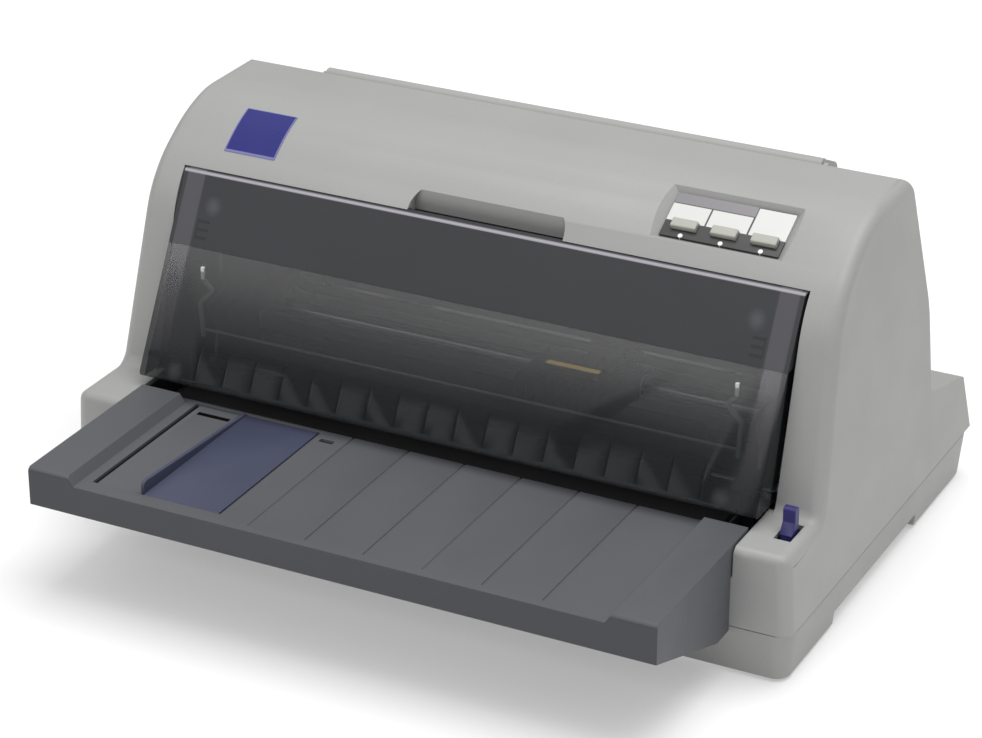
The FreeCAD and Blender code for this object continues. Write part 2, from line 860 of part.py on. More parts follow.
def make_upper_case():
    outer = rounded("case_outer", case_form("case_outer_form", 0 * s.wall), s.tower_round, is_tower_edge)
    hollow = case_form("case_inner_form", s.wall)
    shell = cut("case_shell", outer, hollow)
    inside_y = (block_y, platen_y + s.head_front_lead)
    over_cartridge = (s.cartridge_floor + s.cartridge_height + s.wall, s.case_height)
    behind_cartridge = (platen_y + s.arm_back_lag + s.wall, shelf_y)
    high = (s.ledge_height - s.wall, s.case_height)
    walls = []
    for side, word in ((-1, "left"), (1, "right")):
        walls.append(cheek("front_cheek_" + word, outer, side, opening_half, inside_y, high))
        walls.append(cheek("rear_cheek_" + word, outer, side, s.rear_half, (ridge_y - s.knee_setback, shelf_y),
                           over_cartridge))
        walls.append(cheek("tail_cheek_" + word, outer, side, s.rear_half, behind_cartridge, high))
    cup_slab = block("recess_cup_slab", (-s.recess_half - s.wall, s.recess_half + s.wall),
                     (brow_y, brow_y + s.recess_depth + s.wall),
                     (cover_top - s.wall, recess_top + s.wall))
    walls.append(common("recess_cup", outer, cup_slab))
    backing = panel_slab("panel_backing_slab", s.wall, -s.panel_recess * 3 - s.panel_plate_thick, over)
    walls.append(common("panel_backing", outer, backing))
    shelf = block("rear_shelf", (-s.rear_half - s.wall, s.rear_half + s.wall), (shelf_y - s.wall, tail_y - s.wall),
                  (s.tail_height - s.wall, s.tail_height))
    walls.append(shelf)
    walls += panel_pillars()
    for number, (x, y) in enumerate(post_places(), 1):
        post = stud("upper_post_%d" % number, (x, y, upper_foot), s.ledge_height, s.post_radius, MOULDED_SIDES)
        walls.append(common("upper_post_fit_%d" % number, outer, post))
    body = fuse("case_walls", shell, *walls)
    window = prism("front_window", "YZ", window_profile(), -opening_half, opening_half)
    mouth = block("tray_mouth", (-tray_mouth_half - s.fit_gap, tray_mouth_half + s.fit_gap),
                  (front_y - over, platen_y), (s.mouth_height, s.ledge_height + over))
    rear_gap = block("rear_opening", (-s.rear_half, s.rear_half), (ridge_y + s.fit_gap, rear_y),
                     (s.tail_height, s.case_height + over))
    scoop_outline = [(-s.recess_half, cover_top - over), (s.recess_half, cover_top - over),
                     (s.recess_half, recess_top, s.recess_round), (-s.recess_half, recess_top, s.recess_round)]
    scoop = prism("finger_scoop", "XZ", scoop_outline, brow_y - over, brow_y + s.recess_depth)
    slot_x = (lever_x - s.lever_slot_width / 2, lever_x + s.lever_slot_width / 2)
    lever_y = front_y + s.lever_slot_front
    slot = block("lever_slot", slot_x, (lever_y, lever_y + s.lever_slot_length),
                 (s.ledge_height - s.wall - over, s.ledge_height + over))
    tools = [window, mouth, rear_gap, scoop, slot, panel_recess_tool()]
    for number in range(BUTTON_COUNT):
        across = s.button_first + s.button_pitch * number
        hole = doc.addObject("Part::Box", "button_hole_%d" % (number + 1))
        gap = s.running_gap * 4
        for field, size in (("Length", s.button_width + gap * 2), ("Width", s.button_depth + gap * 2),
                            ("Height", over * 4)):
            setattr(hole, field, size.value)
            bind(hole, field, size)
        tools.append(on_panel(hole, across - s.button_width / 2 - gap, s.button_rise - s.button_depth / 2 - gap,
                              -over * 3))
    for name, left, width in (("power_bay", s.power_bay_left, s.power_bay_width),
                              ("port_bay", s.port_bay_left, s.port_bay_width)):
        tools.append(block(name, (left, left + width), (tail_y - over * 2, rear_y + over),
                           (s.bay_floor, s.bay_floor + s.bay_height)))
    for side, word in ((-1, "left"), (1, "right")):
        start = s.rear_half * side if side > 0 else -s.rear_half - s.wall - over
        tools.append(rod("rear_pin_hole_" + word, "x", (start, rear_pivot()[0], rear_pivot()[1]),
                         s.wall + over, s.rear_pin_radius + s.running_gap))
    node("upper_case", cut("upper_case", body, *tools))


def is_tower_edge(middle, edge):
    """Front corner of the tall block, where its brow meets a side wall."""
    beside = abs(middle.x) > value_of(case_half - s.case_side_lean - s.fit_gap)
    in_front = middle.y < value_of(crown_y)
    above = middle.z > value_of(s.ledge_height + s.fit_gap)
    return beside and in_front and above and edge.Length > value_of(s.crown_round)


def rear_pivot():
    """Hinge line of the rear cover, just behind the ridge."""
    return ridge_y + s.fit_gap + s.rear_bead_radius + s.fit_gap, s.case_height - s.rear_bead_radius


def base_outline(inset):
    half = case_half - inset
    corner = s.base_corner - inset
    return [(-half, front_y + inset, corner), (half, front_y + inset, corner),
            (half, rear_y - inset, corner), (-half, rear_y - inset, corner)]


def grip_block(name, side, inset):
    """Room for a hand under one side of the base."""
    x_pair = mirror_pair(case_half - s.grip_depth - inset, case_half + over, side)
    start = front_y + s.grip_front - inset
    return block(name, x_pair, (start, start + s.grip_length + inset * 2), (-over, s.foot_gap + s.grip_rise + inset))


def make_lower_case():
    height = s.seam_height - s.foot_gap
    lean = bearing(s.base_side_lean, height)
    shift = s.base_side_lean
    outline = [(x - shift if value_of(x) > 0 else x + shift, y - shift if value_of(y) > 0 else y + shift, c)
               for x, y, c in base_outline(0 * s.wall)]
    outer = prism("base_outer", "XY", outline, s.foot_gap, s.seam_height, taper=lean)
    inner_low = s.foot_gap + s.wall
    inner = prism("base_inner", "XY", base_outline(s.wall + s.base_side_lean), inner_low, s.seam_height + over)
    parts = [cut("base_tub", outer, inner)]
    grips = []
    for side, word in ((-1, "left"), (1, "right")):
        roof = grip_block("grip_roof_" + word, side, s.wall)
        parts.append(common("grip_wall_" + word, outer, roof))
        grips.append(grip_block("grip_" + word, side, 0 * s.wall))
    for number, (x, y) in enumerate(post_places(), 1):
        parts.append(stud("lower_post_%d" % number, (x, y, s.foot_gap), height, s.post_radius, MOULDED_SIDES))
    for number, (x, y) in enumerate(plate_posts(), 1):
        parts.append(stud("plate_post_%d" % number, (x, y, s.foot_gap),
                          s.frame_floor - s.base_plate_thick - s.foot_gap, s.post_radius, MOULDED_SIDES))
    tools = list(grips)
    for number, (x, y) in enumerate(post_places(), 1):
        start = (x, y, s.foot_gap - over)
        tools.append(stud("lower_sink_%d" % number, start, over + s.screw_head_height + s.fit_gap,
                          s.screw_head_radius + s.fit_gap, MOULDED_SIDES))
    for number, (x, y) in enumerate(foot_places(), 1):
        tools.append(stud("foot_seat_%d" % number, (x, y, s.foot_gap - over), over + s.foot_sink, s.foot_radius,
                          FOOT_SIDES))
    node("lower_case", cut("lower_case", fuse("base_body", *parts), *tools))


def foot_places():
    x = case_half - s.foot_inset * 2
    return [(x * side, y) for side in (-1, 1) for y in (front_y + s.foot_inset, rear_y - s.foot_inset)]


def plate_posts():
    x = s.base_plate_half - s.foot_inset
    return [(x * side, y) for side in (-1, 1) for y in (front_y + s.foot_inset * 3, rear_y - s.foot_inset * 3)]


def make_feet():
    feet = []
    for number, (x, y) in enumerate(foot_places(), 1):
        feet.append(stud("foot_disc_%d" % number, (x, y, 0), s.foot_gap + s.foot_sink, s.foot_radius, FOOT_SIDES))
    node("rubber_feet", group("rubber_feet", *feet))


def tray_profile():
    back = front_y + s.tray_back_setback
    root_y = front_y - s.fit_gap
    return [
        (tray_front_y, s.tray_height - s.tray_lip),
        (root_y - s.tray_root_gap, s.tray_root_height),
        (root_y, s.tray_root_height),
        (root_y, s.mouth_height + s.fit_gap),
        (back, s.mouth_height + s.fit_gap),
        (back, s.tray_height),
        (tray_front_y, s.tray_height, s.tray_edge_round),
    ]


def tray_hollow_profile():
    """Underside of the tray, open downwards."""
    back = front_y + s.tray_back_setback
    wall = s.tray_floor_thick
    ceiling = s.tray_floor_height - wall
    root_y = front_y - s.fit_gap - wall
    return [(tray_front_y + wall, s.tray_root_height - over), (root_y, s.tray_root_height - over),
            (root_y, s.mouth_height + wall), (back - wall, s.mouth_height + wall),
            (back - wall, ceiling), (tray_front_y + wall, ceiling)]


def make_front_tray():
    back = front_y + s.tray_back_setback
    outer = prism("tray_outer", "YZ", tray_profile(), -tray_half, tray_half)
    inner_half = tray_half - s.tray_floor_thick
    hollow = prism("tray_hollow", "YZ", tray_hollow_profile(), -inner_half, inner_half)
    bed_x, bed_y, bed_floor = guide_bed()
    wall = s.tray_floor_thick
    pan = block("guide_pan", (bed_x[0] - wall, bed_x[1] + wall), (bed_y[0] - wall, back),
                (bed_floor - wall, s.tray_floor_height))
    ribs = []
    for side, word in ((-1, "left"), (1, "right")):
        x_pair = mirror_pair(rail_inner - wall, rail_inner, side)
        ribs.append(block("tray_rib_" + word, x_pair, (tray_front_y + wall, front_y - s.fit_gap - wall),
                          (s.tray_height - s.tray_lip, s.tray_floor_height)))
    solid = fuse("tray_solid", cut("tray_shell", outer, hollow), pan, *ribs)
    bed = block("guide_bed", bed_x, bed_y, (bed_floor, s.tray_height + over))
    slope = s.rail_slope
    channel = prism("tray_channel", "XZ", [
        (-rail_inner + slope, s.tray_floor_height), (rail_inner - slope, s.tray_floor_height),
        (rail_inner, s.tray_height), (rail_inner, s.tray_height + over),
        (-rail_inner, s.tray_height + over), (-rail_inner, s.tray_height)],
        tray_front_y - over, back + over)
    rail_end = block("rail_end", (-tray_half - over, tray_half + over), (front_y + s.rail_back_setback, back + over),
                     (s.tray_floor_height, s.tray_height + over))
    tools = [bed, channel, rail_end] + bed_cuts(bed_x, bed_y, bed_floor, back)
    for number in range(GROOVE_COUNT):
        x = s.groove_first + s.groove_pitch * number
        tools.append(block("groove_%d" % (number + 1), (x - s.groove_width / 2, x + s.groove_width / 2),
                           (tray_front_y + s.groove_end_gap, back + over),
                           (s.tray_floor_height - s.groove_depth, s.tray_floor_height + over)))
    node("front_tray", cut("front_tray", solid, *tools))


def guide_bed():
    """Shallow bed in the tray that the edge guide slides across, and the height of its floor."""
    x_pair = (s.guide_bed_left, s.guide_bed_left + s.guide_bed_width)
    y_pair = (tray_front_y + s.guide_bed_front, front_y + s.tray_back_setback - s.guide_rear_gap)
    return x_pair, y_pair, s.tray_floor_height - s.guide_bed_depth


def bed_cuts(bed_x, bed_y, bed_floor, back):
    """Grooves along the bed's left and front edges, and the two slots that go right through behind it."""
    groove_z = (bed_floor - s.bed_groove_depth, bed_floor + over)
    through_z = (bed_floor - s.tray_lip, s.tray_height + over)
    slot_y = (back - s.bed_slot_back_gap - s.bed_slot_depth, back - s.bed_slot_back_gap)
    slot_left = bed_x[0] + s.bed_slot_inset
    end_left = bed_x[1] + s.bed_end_slot_gap
    return [
        block("bed_groove_left", (bed_x[0], bed_x[0] + s.bed_groove_width), bed_y, groove_z),
        block("bed_groove_front", bed_x, (bed_y[0], bed_y[0] + s.bed_groove_width), groove_z),
        block("bed_slot", (slot_left, slot_left + s.bed_slot_width), slot_y, through_z),
        block("bed_end_slot", (end_left, end_left + s.bed_end_slot_width), slot_y, through_z),
    ]


def make_edge_guide():
    """Flush sliding plate with a fence that falls away towards the back."""
    bed_x, bed_y, bed_floor = guide_bed()
    right = bed_x[1] - s.guide_side_gap
    left = right - s.guide_width
    low = bed_floor + s.running_gap
    front = bed_y[0] + s.fit_gap
    back = bed_y[1] - s.fit_gap
    plate = block("guide_plate", (left, right), (front, back), (low, low + s.guide_thick))
    fence = prism("guide_fence", "YZ", [
        (front, low), (back, low), (back, low + s.guide_fence_rear),
        (front, low + s.guide_fence_height, s.guide_fence_round)], left, left + s.guide_fence_thick)
    node("edge_guide", fuse("edge_guide", plate, fence))


def cover_pivot():
    return front_y + s.cover_pivot_setback, s.cover_pivot_height


def cover_slope():
    """How far the cover's front leans back for each unit of height."""
    return (s.cover_top_setback - s.cover_foot_setback) / (cover_top - s.cover_foot_height)


def cover_front(height, depth):
    """Place on a line inside the cover's sloped front, at a height and at a depth in from its face."""
    slope = cover_slope()
    level = depth * distance(slope, 1 + 0 * slope)
    return front_y + s.cover_foot_setback + slope * (height - s.cover_foot_height) + level


def cover_outline():
    """Side outline of the front cover: sloped front, and a back edge along the case's brow."""
    brow_lean = s.brow_setback / (brow_height - s.ledge_height)
    back_foot = block_y + s.cover_wall + brow_lean * (s.cover_foot_height - s.ledge_height)
    zero = 0 * s.wall
    return [
        (cover_front(s.cover_foot_height, zero), s.cover_foot_height, s.cover_foot_round),
        (back_foot, s.cover_foot_height),
        (cover_front(cover_top, zero) + s.cover_wall * 2, cover_top),
        (cover_front(cover_top, zero), cover_top, s.cover_top_round),
    ]


def cover_hollow_outline():
    """Inside of the front cover, open below and behind."""
    low = s.cover_foot_height - over
    high = cover_top - s.cover_wall
    return [(cover_front(low, s.cover_wall), low), (block_y + over * 3, low),
            (brow_y + over * 5, high), (cover_front(high, s.cover_wall), high)]


def make_front_cover():
    outer = prism("cover_outer", "YZ", cover_outline(), -cover_half, cover_half)
    inner_half = cover_half - s.cover_wall
    inner = prism("cover_inner", "YZ", cover_hollow_outline(), -inner_half, inner_half)
    shell = cut("cover_shell", outer, inner)
    teeth = []
    count = int(value_of((cover_half - s.comb_end_gap) * 2 / s.comb_pitch))
    root = s.cover_wall / 2
    tip = s.cover_wall + s.comb_depth
    low = s.cover_foot_height + s.comb_lift
    high = low + s.comb_height
    for number in range(count):
        x = s.comb_pitch * (number - (count - 1) / 2)
        teeth.append(prism("comb_%d" % (number + 1), "YZ", [
            (cover_front(low, root), low), (cover_front(low, tip), low), (cover_front(high, tip), high),
            (cover_front(high, root), high)], x - s.comb_width / 2, x + s.comb_width / 2))
    pivot_y, pivot_z = cover_pivot()
    tools = []
    for side, word in ((-1, "left"), (1, "right")):
        x_pair = mirror_pair(inner_half - over, cover_half + over, side)
        tools.append(rod("cover_pin_hole_" + word, "x", (x_pair[0], pivot_y, pivot_z), x_pair[1] - x_pair[0],
                         s.cover_pin_radius + s.running_gap))
    node("front_cover", cut("front_cover", fuse("cover_ribbed", shell, *teeth), *tools))


def make_cover_hinges():
    """Brackets on the outside of the frames: an upright with an arm forwards to the cover's pin."""
    pivot_y, pivot_z = cover_pivot()
    half = s.hinge_arm_half
    post_front = pivot_y + s.hinge_reach
    post_back = post_front + s.hinge_post_depth
    low = s.hinge_foot_height
    hinges = []
    for side, word in ((-1, "left"), (1, "right")):
        outline = [(post_front, low), (post_back, low), (post_back, pivot_z + half),
                   (pivot_y - half, pivot_z + half, half - s.fit_gap), (pivot_y - half, pivot_z - half, half - s.fit_gap),
                   (post_front, pivot_z - half)]
        arm = prism("hinge_arm_" + word, "YZ", outline, *mirror_pair(frame_outer, frame_outer + s.hinge_post_width, side))
        pin_x = mirror_pair(frame_outer + s.hinge_post_width / 2, cover_half, side)
        pin = rod("hinge_pin_" + word, "x", (pin_x[0], pivot_y, pivot_z), pin_x[1] - pin_x[0], s.cover_pin_radius)
        hinges.append(fuse("cover_hinge_" + word, arm, pin))
    node("cover_hinges", group("cover_hinges", *hinges))


def rear_cover_profile(inset):
    pivot_y, _ = rear_pivot()
    back = s.rear_cover_back
    low = s.rear_cover_foot - (over if value_of(inset) > 0 else 0)
    round_by = s.rear_cover_round - inset
    return [
        (pivot_y, s.case_height - s.rear_bead_radius * 2 + inset),
        (pivot_y + s.rear_bead_radius, s.case_height - s.rear_bead_radius * 2),
        (pivot_y + s.rear_bead_radius, low),
        (back + s.fit_gap - inset, low),
        (back - s.rear_cover_lean - inset, s.case_height - s.rear_cover_drop - inset, round_by),
        (pivot_y, s.case_height - inset),
    ]


def make_rear_cover():
    pivot_y, pivot_z = rear_pivot()
    outer = prism("rear_cover_outer", "YZ", rear_cover_profile(0 * s.wall), -rear_cover_half, rear_cover_half)
    inner_half = rear_cover_half - s.rear_cover_wall
    inner_outline = rear_cover_profile(s.rear_cover_wall)
    inner = prism("rear_cover_inner", "YZ", inner_outline, -inner_half, inner_half)
    bead = rod("rear_cover_bead", "x", (-rear_cover_half, pivot_y, pivot_z), rear_cover_half * 2,
               s.rear_bead_radius)
    reach = s.wall + s.fit_gap
    pins = []
    for side, word in ((-1, "left"), (1, "right")):
        start = rear_cover_half if side > 0 else -rear_cover_half - reach
        pins.append(rod("rear_cover_pin_" + word, "x", (start, pivot_y, pivot_z), reach, s.rear_pin_radius))
    shell = cut("rear_cover_shell", outer, inner)
    node("rear_cover", fuse("rear_cover", shell, bead, *pins))


def make_lever():
    """Paper lever: a boot-shaped grip over the right ledge on an arm that pivots inside."""
    x_pair = (lever_x - s.lever_thick / 2, lever_x + s.lever_thick / 2)
    y = front_y + s.lever_slot_front + s.lever_slot_length / 2
    half = s.lever_depth / 2
    low = s.lever_pivot_height - half
    boot = s.lever_boot_depth / 2
    thumb = y + boot - s.lever_thumb_depth
    top = s.ledge_height + s.lever_rise
    neck = s.ledge_height - s.lever_neck_drop
    end_round = half - s.fit_gap
    arm = prism("lever_arm", "YZ", [
        (y - half, low, end_round), (y + half, low, end_round), (y + half, neck), (y + boot, s.ledge_height),
        (y + boot, top, s.lever_thumb_depth / 3), (thumb, top, s.lever_thumb_depth / 3),
        (thumb, s.ledge_height + s.lever_toe_rise), (y - boot, s.ledge_height), (y - half, neck)],
        *x_pair, holes=[((y, s.lever_pivot_height), s.lever_pin_radius + s.running_gap)])
    node("release_lever", arm)


def lever_bracket():
    """Arm on the right side frame that carries the lever's pin between two ears."""
    y = front_y + s.lever_slot_front + s.lever_slot_length / 2
    half = s.lever_depth / 2
    pivot = (y, s.lever_pivot_height)
    low = s.lever_pivot_height - s.beam_height
    fork = []
    for side, word in ((-1, "left"), (1, "right")):
        inner = s.lever_thick / 2 + s.fit_gap
        ear_x = mirror_pair(inner, inner + s.wall, side)
        pair = (lever_x + ear_x[0], lever_x + ear_x[1])
        fork.append(block("lever_fork_" + word, pair, (y - half, y + half), (low, pivot[1] + half)))
    reach = s.lever_thick / 2 + s.fit_gap + s.wall
    foot = block("lever_fork_foot", (frame_inner, lever_x + reach), (y - half, y + half),
                 (low, low + s.wall))
    pin = rod("lever_pin", "x", (lever_x - reach, pivot[0], pivot[1]), reach * 2, s.lever_pin_radius)
    return fuse("lever_bracket", foot, pin, *fork)


def make_panel():
    plate = panel_slab("panel_sheet", -s.panel_bevel - s.fit_gap, -s.panel_recess - s.panel_plate_thick,
                       -s.panel_recess)
    tools = []
    caps = []
    lenses = []
    gap = s.running_gap * 2
    for number in range(BUTTON_COUNT):
        word = "_%d" % (number + 1)
        across = s.button_first + s.button_pitch * number
        hole = doc.addObject("Part::Box", "plate_hole" + word)
        cap = doc.addObject("Part::Box", "button_cap" + word)
        stem_low = -s.panel_recess - s.button_stem
        for item, spread, low, high in ((hole, gap, -over * 2, over), (cap, 0 * gap, stem_low, s.button_proud
                                                                      - s.panel_recess)):
            for field, size in (("Length", s.button_width + spread * 2), ("Width", s.button_depth + spread * 2),
                                ("Height", high - low)):
                setattr(item, field, value_of(size))
                bind(item, field, size)
            on_panel(item, across - s.button_width / 2 - spread, s.button_rise - s.button_depth / 2 - spread, low)
        tools.append(hole)
        caps.append(cap)
        for item, radius, low, high in (("lens_hole", s.lens_radius + s.running_gap, -over * 2, over),
                                        ("lens", s.lens_radius, -s.panel_recess - s.panel_plate_thick,
                                         -s.panel_recess + s.fit_gap)):
            disc = stud(item + word, (0 * low, 0 * low, 0 * low), high - low, radius, MOULDED_SIDES)
            on_panel(disc, across, s.lens_rise, low)
            (tools if item == "lens_hole" else lenses).append(disc)
    node("panel_plate", cut("panel_plate", plate, *tools))
    for number, cap in enumerate(caps, 1):
        node("panel_button_%d" % number, rounded("panel_button_%d" % number, cap, s.button_proud / 4, is_cap_edge))
    node("indicator_lenses", group("indicator_lenses", *lenses))
    board = panel_slab("panel_board", -s.panel_bevel, board_lift() - s.panel_board_thick, board_lift())
    return board


def is_cap_edge(middle, edge):
    """Whether an edge lies on the outer face of a panel button."""
    base_y, base_z = [value_of(v) for v in panel_point(0 * s.wall, 0 * s.wall, 0 * s.wall)[1:]]
    tilt = math.radians(value_of(s.panel_tilt))
    lift = (middle.z - base_z) * math.cos(tilt) - (middle.y - base_y) * math.sin(tilt)
    return abs(lift - value_of(s.button_proud - s.panel_recess)) < value_of(s.running_gap)


def tractor_drive():
    return platen_y + s.tractor_drive_lag, paper_z - s.sprocket_radius


def tractor_rod():
    return platen_y + s.tractor_rod_lag, paper_z - s.tractor_rod_drop


def front_feed():
    return platen_y - s.front_feed_lead, paper_z - s.feed_radius


def rear_feed():
    return platen_y + s.rear_feed_lag, paper_z - s.feed_radius


def pinch_height():
    return paper_z + s.paper_thick + s.pinch_radius


def frame_profile():
    front = front_y + s.frame_front_setback
    rear = front_y + s.frame_rear_setback
    return [
        (front, s.frame_floor), (rear, s.frame_floor), (rear, s.frame_waist_top),
        (rear - s.beam_depth, s.frame_top), (front_y + s.frame_brow_setback, s.frame_top),
        (front_y + s.frame_brow_setback, s.frame_notch_top), (front_y + s.frame_notch_setback, s.frame_notch_height),
        (front_y + s.frame_waist_setback - s.frame_thick, s.frame_waist_top),
        (front_y + s.frame_waist_setback + s.wall * 2, s.ledge_height + s.beam_depth),
        (front_y + s.frame_waist_setback, s.frame_foot_top), (front, s.frame_foot_top)]


def frame_studs(side):
    """Studs on the outside of a side frame that carry its idler gears."""
    reach = s.frame_thick + s.gear_gap + s.gear_width
    centres = (first_idler(), second_idler()) if side < 0 else (side_idler(-1), side_idler(1))
    start = frame_inner if side > 0 else -frame_inner - reach
    return [rod("gear_stud_%d_%d" % (side + 2, number), "x", (start, centre[0], centre[1]), reach, s.stub_radius)
            for number, centre in enumerate(centres, 1)]


def make_side_frames():
    pinch_y = (front_feed()[0], rear_feed()[0])
    for side, word in ((-1, "left"), (1, "right")):
        gap = s.running_gap
        holes = [((platen_y, platen_z), s.platen_shaft_radius + gap), (front_feed(), s.feed_shaft_radius + gap),
                 (rear_feed(), s.feed_shaft_radius + gap), (tractor_drive(), s.tractor_square / 2 + gap)]
        holes += [((y, pinch_height()), s.pinch_shaft_radius + gap) for y in pinch_y]
        if side < 0:
            holes += [(feed_motor_centre(), s.motor_shaft_radius + s.fit_gap)]
        x_pair = mirror_pair(frame_inner, frame_outer, side)
        plate = prism("frame_plate_" + word, "YZ", frame_profile(), *x_pair, holes=holes)
        flange_x = mirror_pair(frame_outer - s.flange_width, frame_outer, side)
        flange = block("frame_flange_" + word, flange_x,
                       (front_y + s.frame_waist_setback, front_y + s.frame_rear_setback - s.flange_width),
                       (s.frame_floor, s.frame_floor + s.frame_thick))
        pieces = [plate, flange] + frame_studs(side)
        if side > 0:
            pieces.append(lever_bracket())
        node("side_frame_" + word, fuse("side_frame_" + word, *pieces))


def drive_lean():
    """Turn of the two halves of the left gear train below the line from platen to tractor."""
    first = (s.platen_teeth + s.idler_teeth * 2 + s.pinion_teeth) * s.gear_module / 2
    second = (s.tractor_teeth + s.idler_teeth * 2 + s.pinion_teeth) * s.gear_module / 2
    rise = tractor_drive()[1] - platen_z
    base = distance(rise, s.tractor_drive_lag)
    share = (first * first + base * base - second * second) / (first * base * 2)
    return bearing(rise, s.tractor_drive_lag) - arc_cosine(share), first, second


def along(start, reach, angle):
    return start[0] + reach * cosine(angle), start[1] + reach * sine(angle)


def mesh(first_teeth, second_teeth):
    return (first_teeth + second_teeth) * s.gear_module / 2


def first_idler():
    angle, _, _ = drive_lean()
    return along((platen_y, platen_z), mesh(s.platen_teeth, s.idler_teeth), angle)


def feed_motor_centre():
    angle, first, _ = drive_lean()
    return along((platen_y, platen_z), first, angle)


def second_angle():
    start = feed_motor_centre()
    end = tractor_drive()
    return bearing(end[1] - start[1], end[0] - start[0])


def second_idler():
    return along(feed_motor_centre(), mesh(s.pinion_teeth, s.idler_teeth), second_angle())


def side_angles(side):
    """Directions platen to idler, and idler to feed roller, on the right frame."""
    target = rear_feed() if side > 0 else front_feed()
    near = mesh(s.hub_teeth, s.side_idler_teeth)
    far = mesh(s.side_idler_teeth, s.feed_teeth)
    rise = target[1] - platen_z
    run = target[0] - platen_y
    base = distance(rise, run)
    share = (near * near + base * base - far * far) / (near * base * 2)
    first = bearing(rise, run) - arc_cosine(share) * side
    idler = along((platen_y, platen_z), near, first)
    return first, idler, bearing(target[1] - idler[1], target[0] - idler[0])


def side_idler(side):
    return side_angles(side)[1]


def meshed_phase(angle, first_phase, first_teeth, second_teeth):
    """Phase that puts a gap of the second gear on a tooth of the first."""
    return angle + 180 + (180 - (first_phase - angle) * first_teeth) / second_teeth


def make_gears():
    left = mirror_pair(frame_outer + s.gear_gap, frame_outer + s.gear_gap + s.gear_width, -1)
    right = mirror_pair(frame_outer + s.gear_gap, frame_outer + s.gear_gap + s.gear_width, 1)
    zero = 0 * s.wall
    angle, _, _ = drive_lean()
    bore = s.stub_radius + s.running_gap
    big = gear("platen_big_gear", s.platen_teeth, s.platen_shaft_radius, left, (platen_y, platen_z), zero)
    idler_phase = meshed_phase(angle, zero, s.platen_teeth, s.idler_teeth)
    node("reduction_gear", gear("reduction_gear", s.idler_teeth, bore, left, first_idler(), idler_phase))
    pinion_phase = meshed_phase(angle, idler_phase, s.idler_teeth, s.pinion_teeth)
    pinion = gear("pinion_wheel", s.pinion_teeth, s.motor_shaft_radius, left, feed_motor_centre(), pinion_phase)
    centre = feed_motor_centre()
    reach = s.frame_thick + s.gear_gap + s.gear_width
    steel = rod("pinion_steel", "x", (-frame_inner - reach, centre[0], centre[1]), reach, s.motor_shaft_radius)
    node("motor_pinion", group("motor_pinion", pinion, steel))
    turn_back = second_angle()
    second_phase = meshed_phase(turn_back, pinion_phase, s.pinion_teeth, s.idler_teeth)
    node("tractor_idler_gear", gear("tractor_idler_gear", s.idler_teeth, bore, left, second_idler(), second_phase))
    last_phase = meshed_phase(turn_back, second_phase, s.idler_teeth, s.tractor_teeth)
    tractor_gear = gear("tractor_gear", s.tractor_teeth, s.tractor_square / 2, left, tractor_drive(), last_phase)
    small = gear("platen_hub_gear", s.hub_teeth, s.platen_shaft_radius, right, (platen_y, platen_z), zero)
    feed_gears = {"platen": (big, small), "tractor": tractor_gear}
    for side, word, roller in ((-1, "front", front_feed()), (1, "rear", rear_feed())):
        first, idler, second = side_angles(side)
        phase = meshed_phase(first, zero, s.hub_teeth, s.side_idler_teeth)
        node(word + "_idler_gear", gear(word + "_idler_gear", s.side_idler_teeth, bore, right, idler, phase))
        last = meshed_phase(second, phase, s.side_idler_teeth, s.feed_teeth)
        feed_gears[word] = gear(word + "_feed_gear", s.feed_teeth, s.feed_shaft_radius, right, roller, last)
    return feed_gears


def rubber_tube(name, centre, half, radius, bore):
    """Rubber sleeve round a shaft along X."""
    rubber = rod(name + "_rubber", "x", (-half, centre[0], centre[1]), half * 2, radius)
    hole = rod(name + "_bore", "x", (-half - over, centre[0], centre[1]), half * 2 + over * 2, bore)
    return cut(name, rubber, hole)


def make_rollers(feed_gears):
    reach = frame_outer + s.gear_gap + s.gear_width
    left_end = frame_outer + s.fit_gap
    centre = (platen_y, platen_z)
    steel = rod("platen_steel", "x", (-reach, centre[0], centre[1]), reach * 2, s.platen_shaft_radius)
    node("platen_shaft", group("platen_shaft", steel, *feed_gears["platen"]))
    node("platen_roller", rubber_tube("platen_roller", centre, s.platen_half, s.platen_radius, s.platen_shaft_radius))
    for word, roller in (("front", front_feed()), ("rear", rear_feed())):
        steel = rod(word + "_feed_steel", "x", (-left_end, roller[0], roller[1]), left_end + reach,
                    s.feed_shaft_radius)
        node(word + "_feed_shaft", group(word + "_feed_shaft", steel, feed_gears[word]))
        node(word + "_feed_rollers", rubber_tube(word + "_feed_rollers", roller, s.feed_half, s.feed_radius,
                                                 s.feed_shaft_radius))
        pinch = (roller[0], pinch_height())
        steel = rod(word + "_pinch_steel", "x", (-left_end, pinch[0], pinch[1]), left_end * 2,
                    s.pinch_shaft_radius)
        barrel = rod(word + "_pinch_barrel", "x", (-s.feed_half, pinch[0], pinch[1]), s.feed_half * 2, s.pinch_radius)
        node(word + "_pinch_rollers", fuse(word + "_pinch_rollers", steel, barrel))


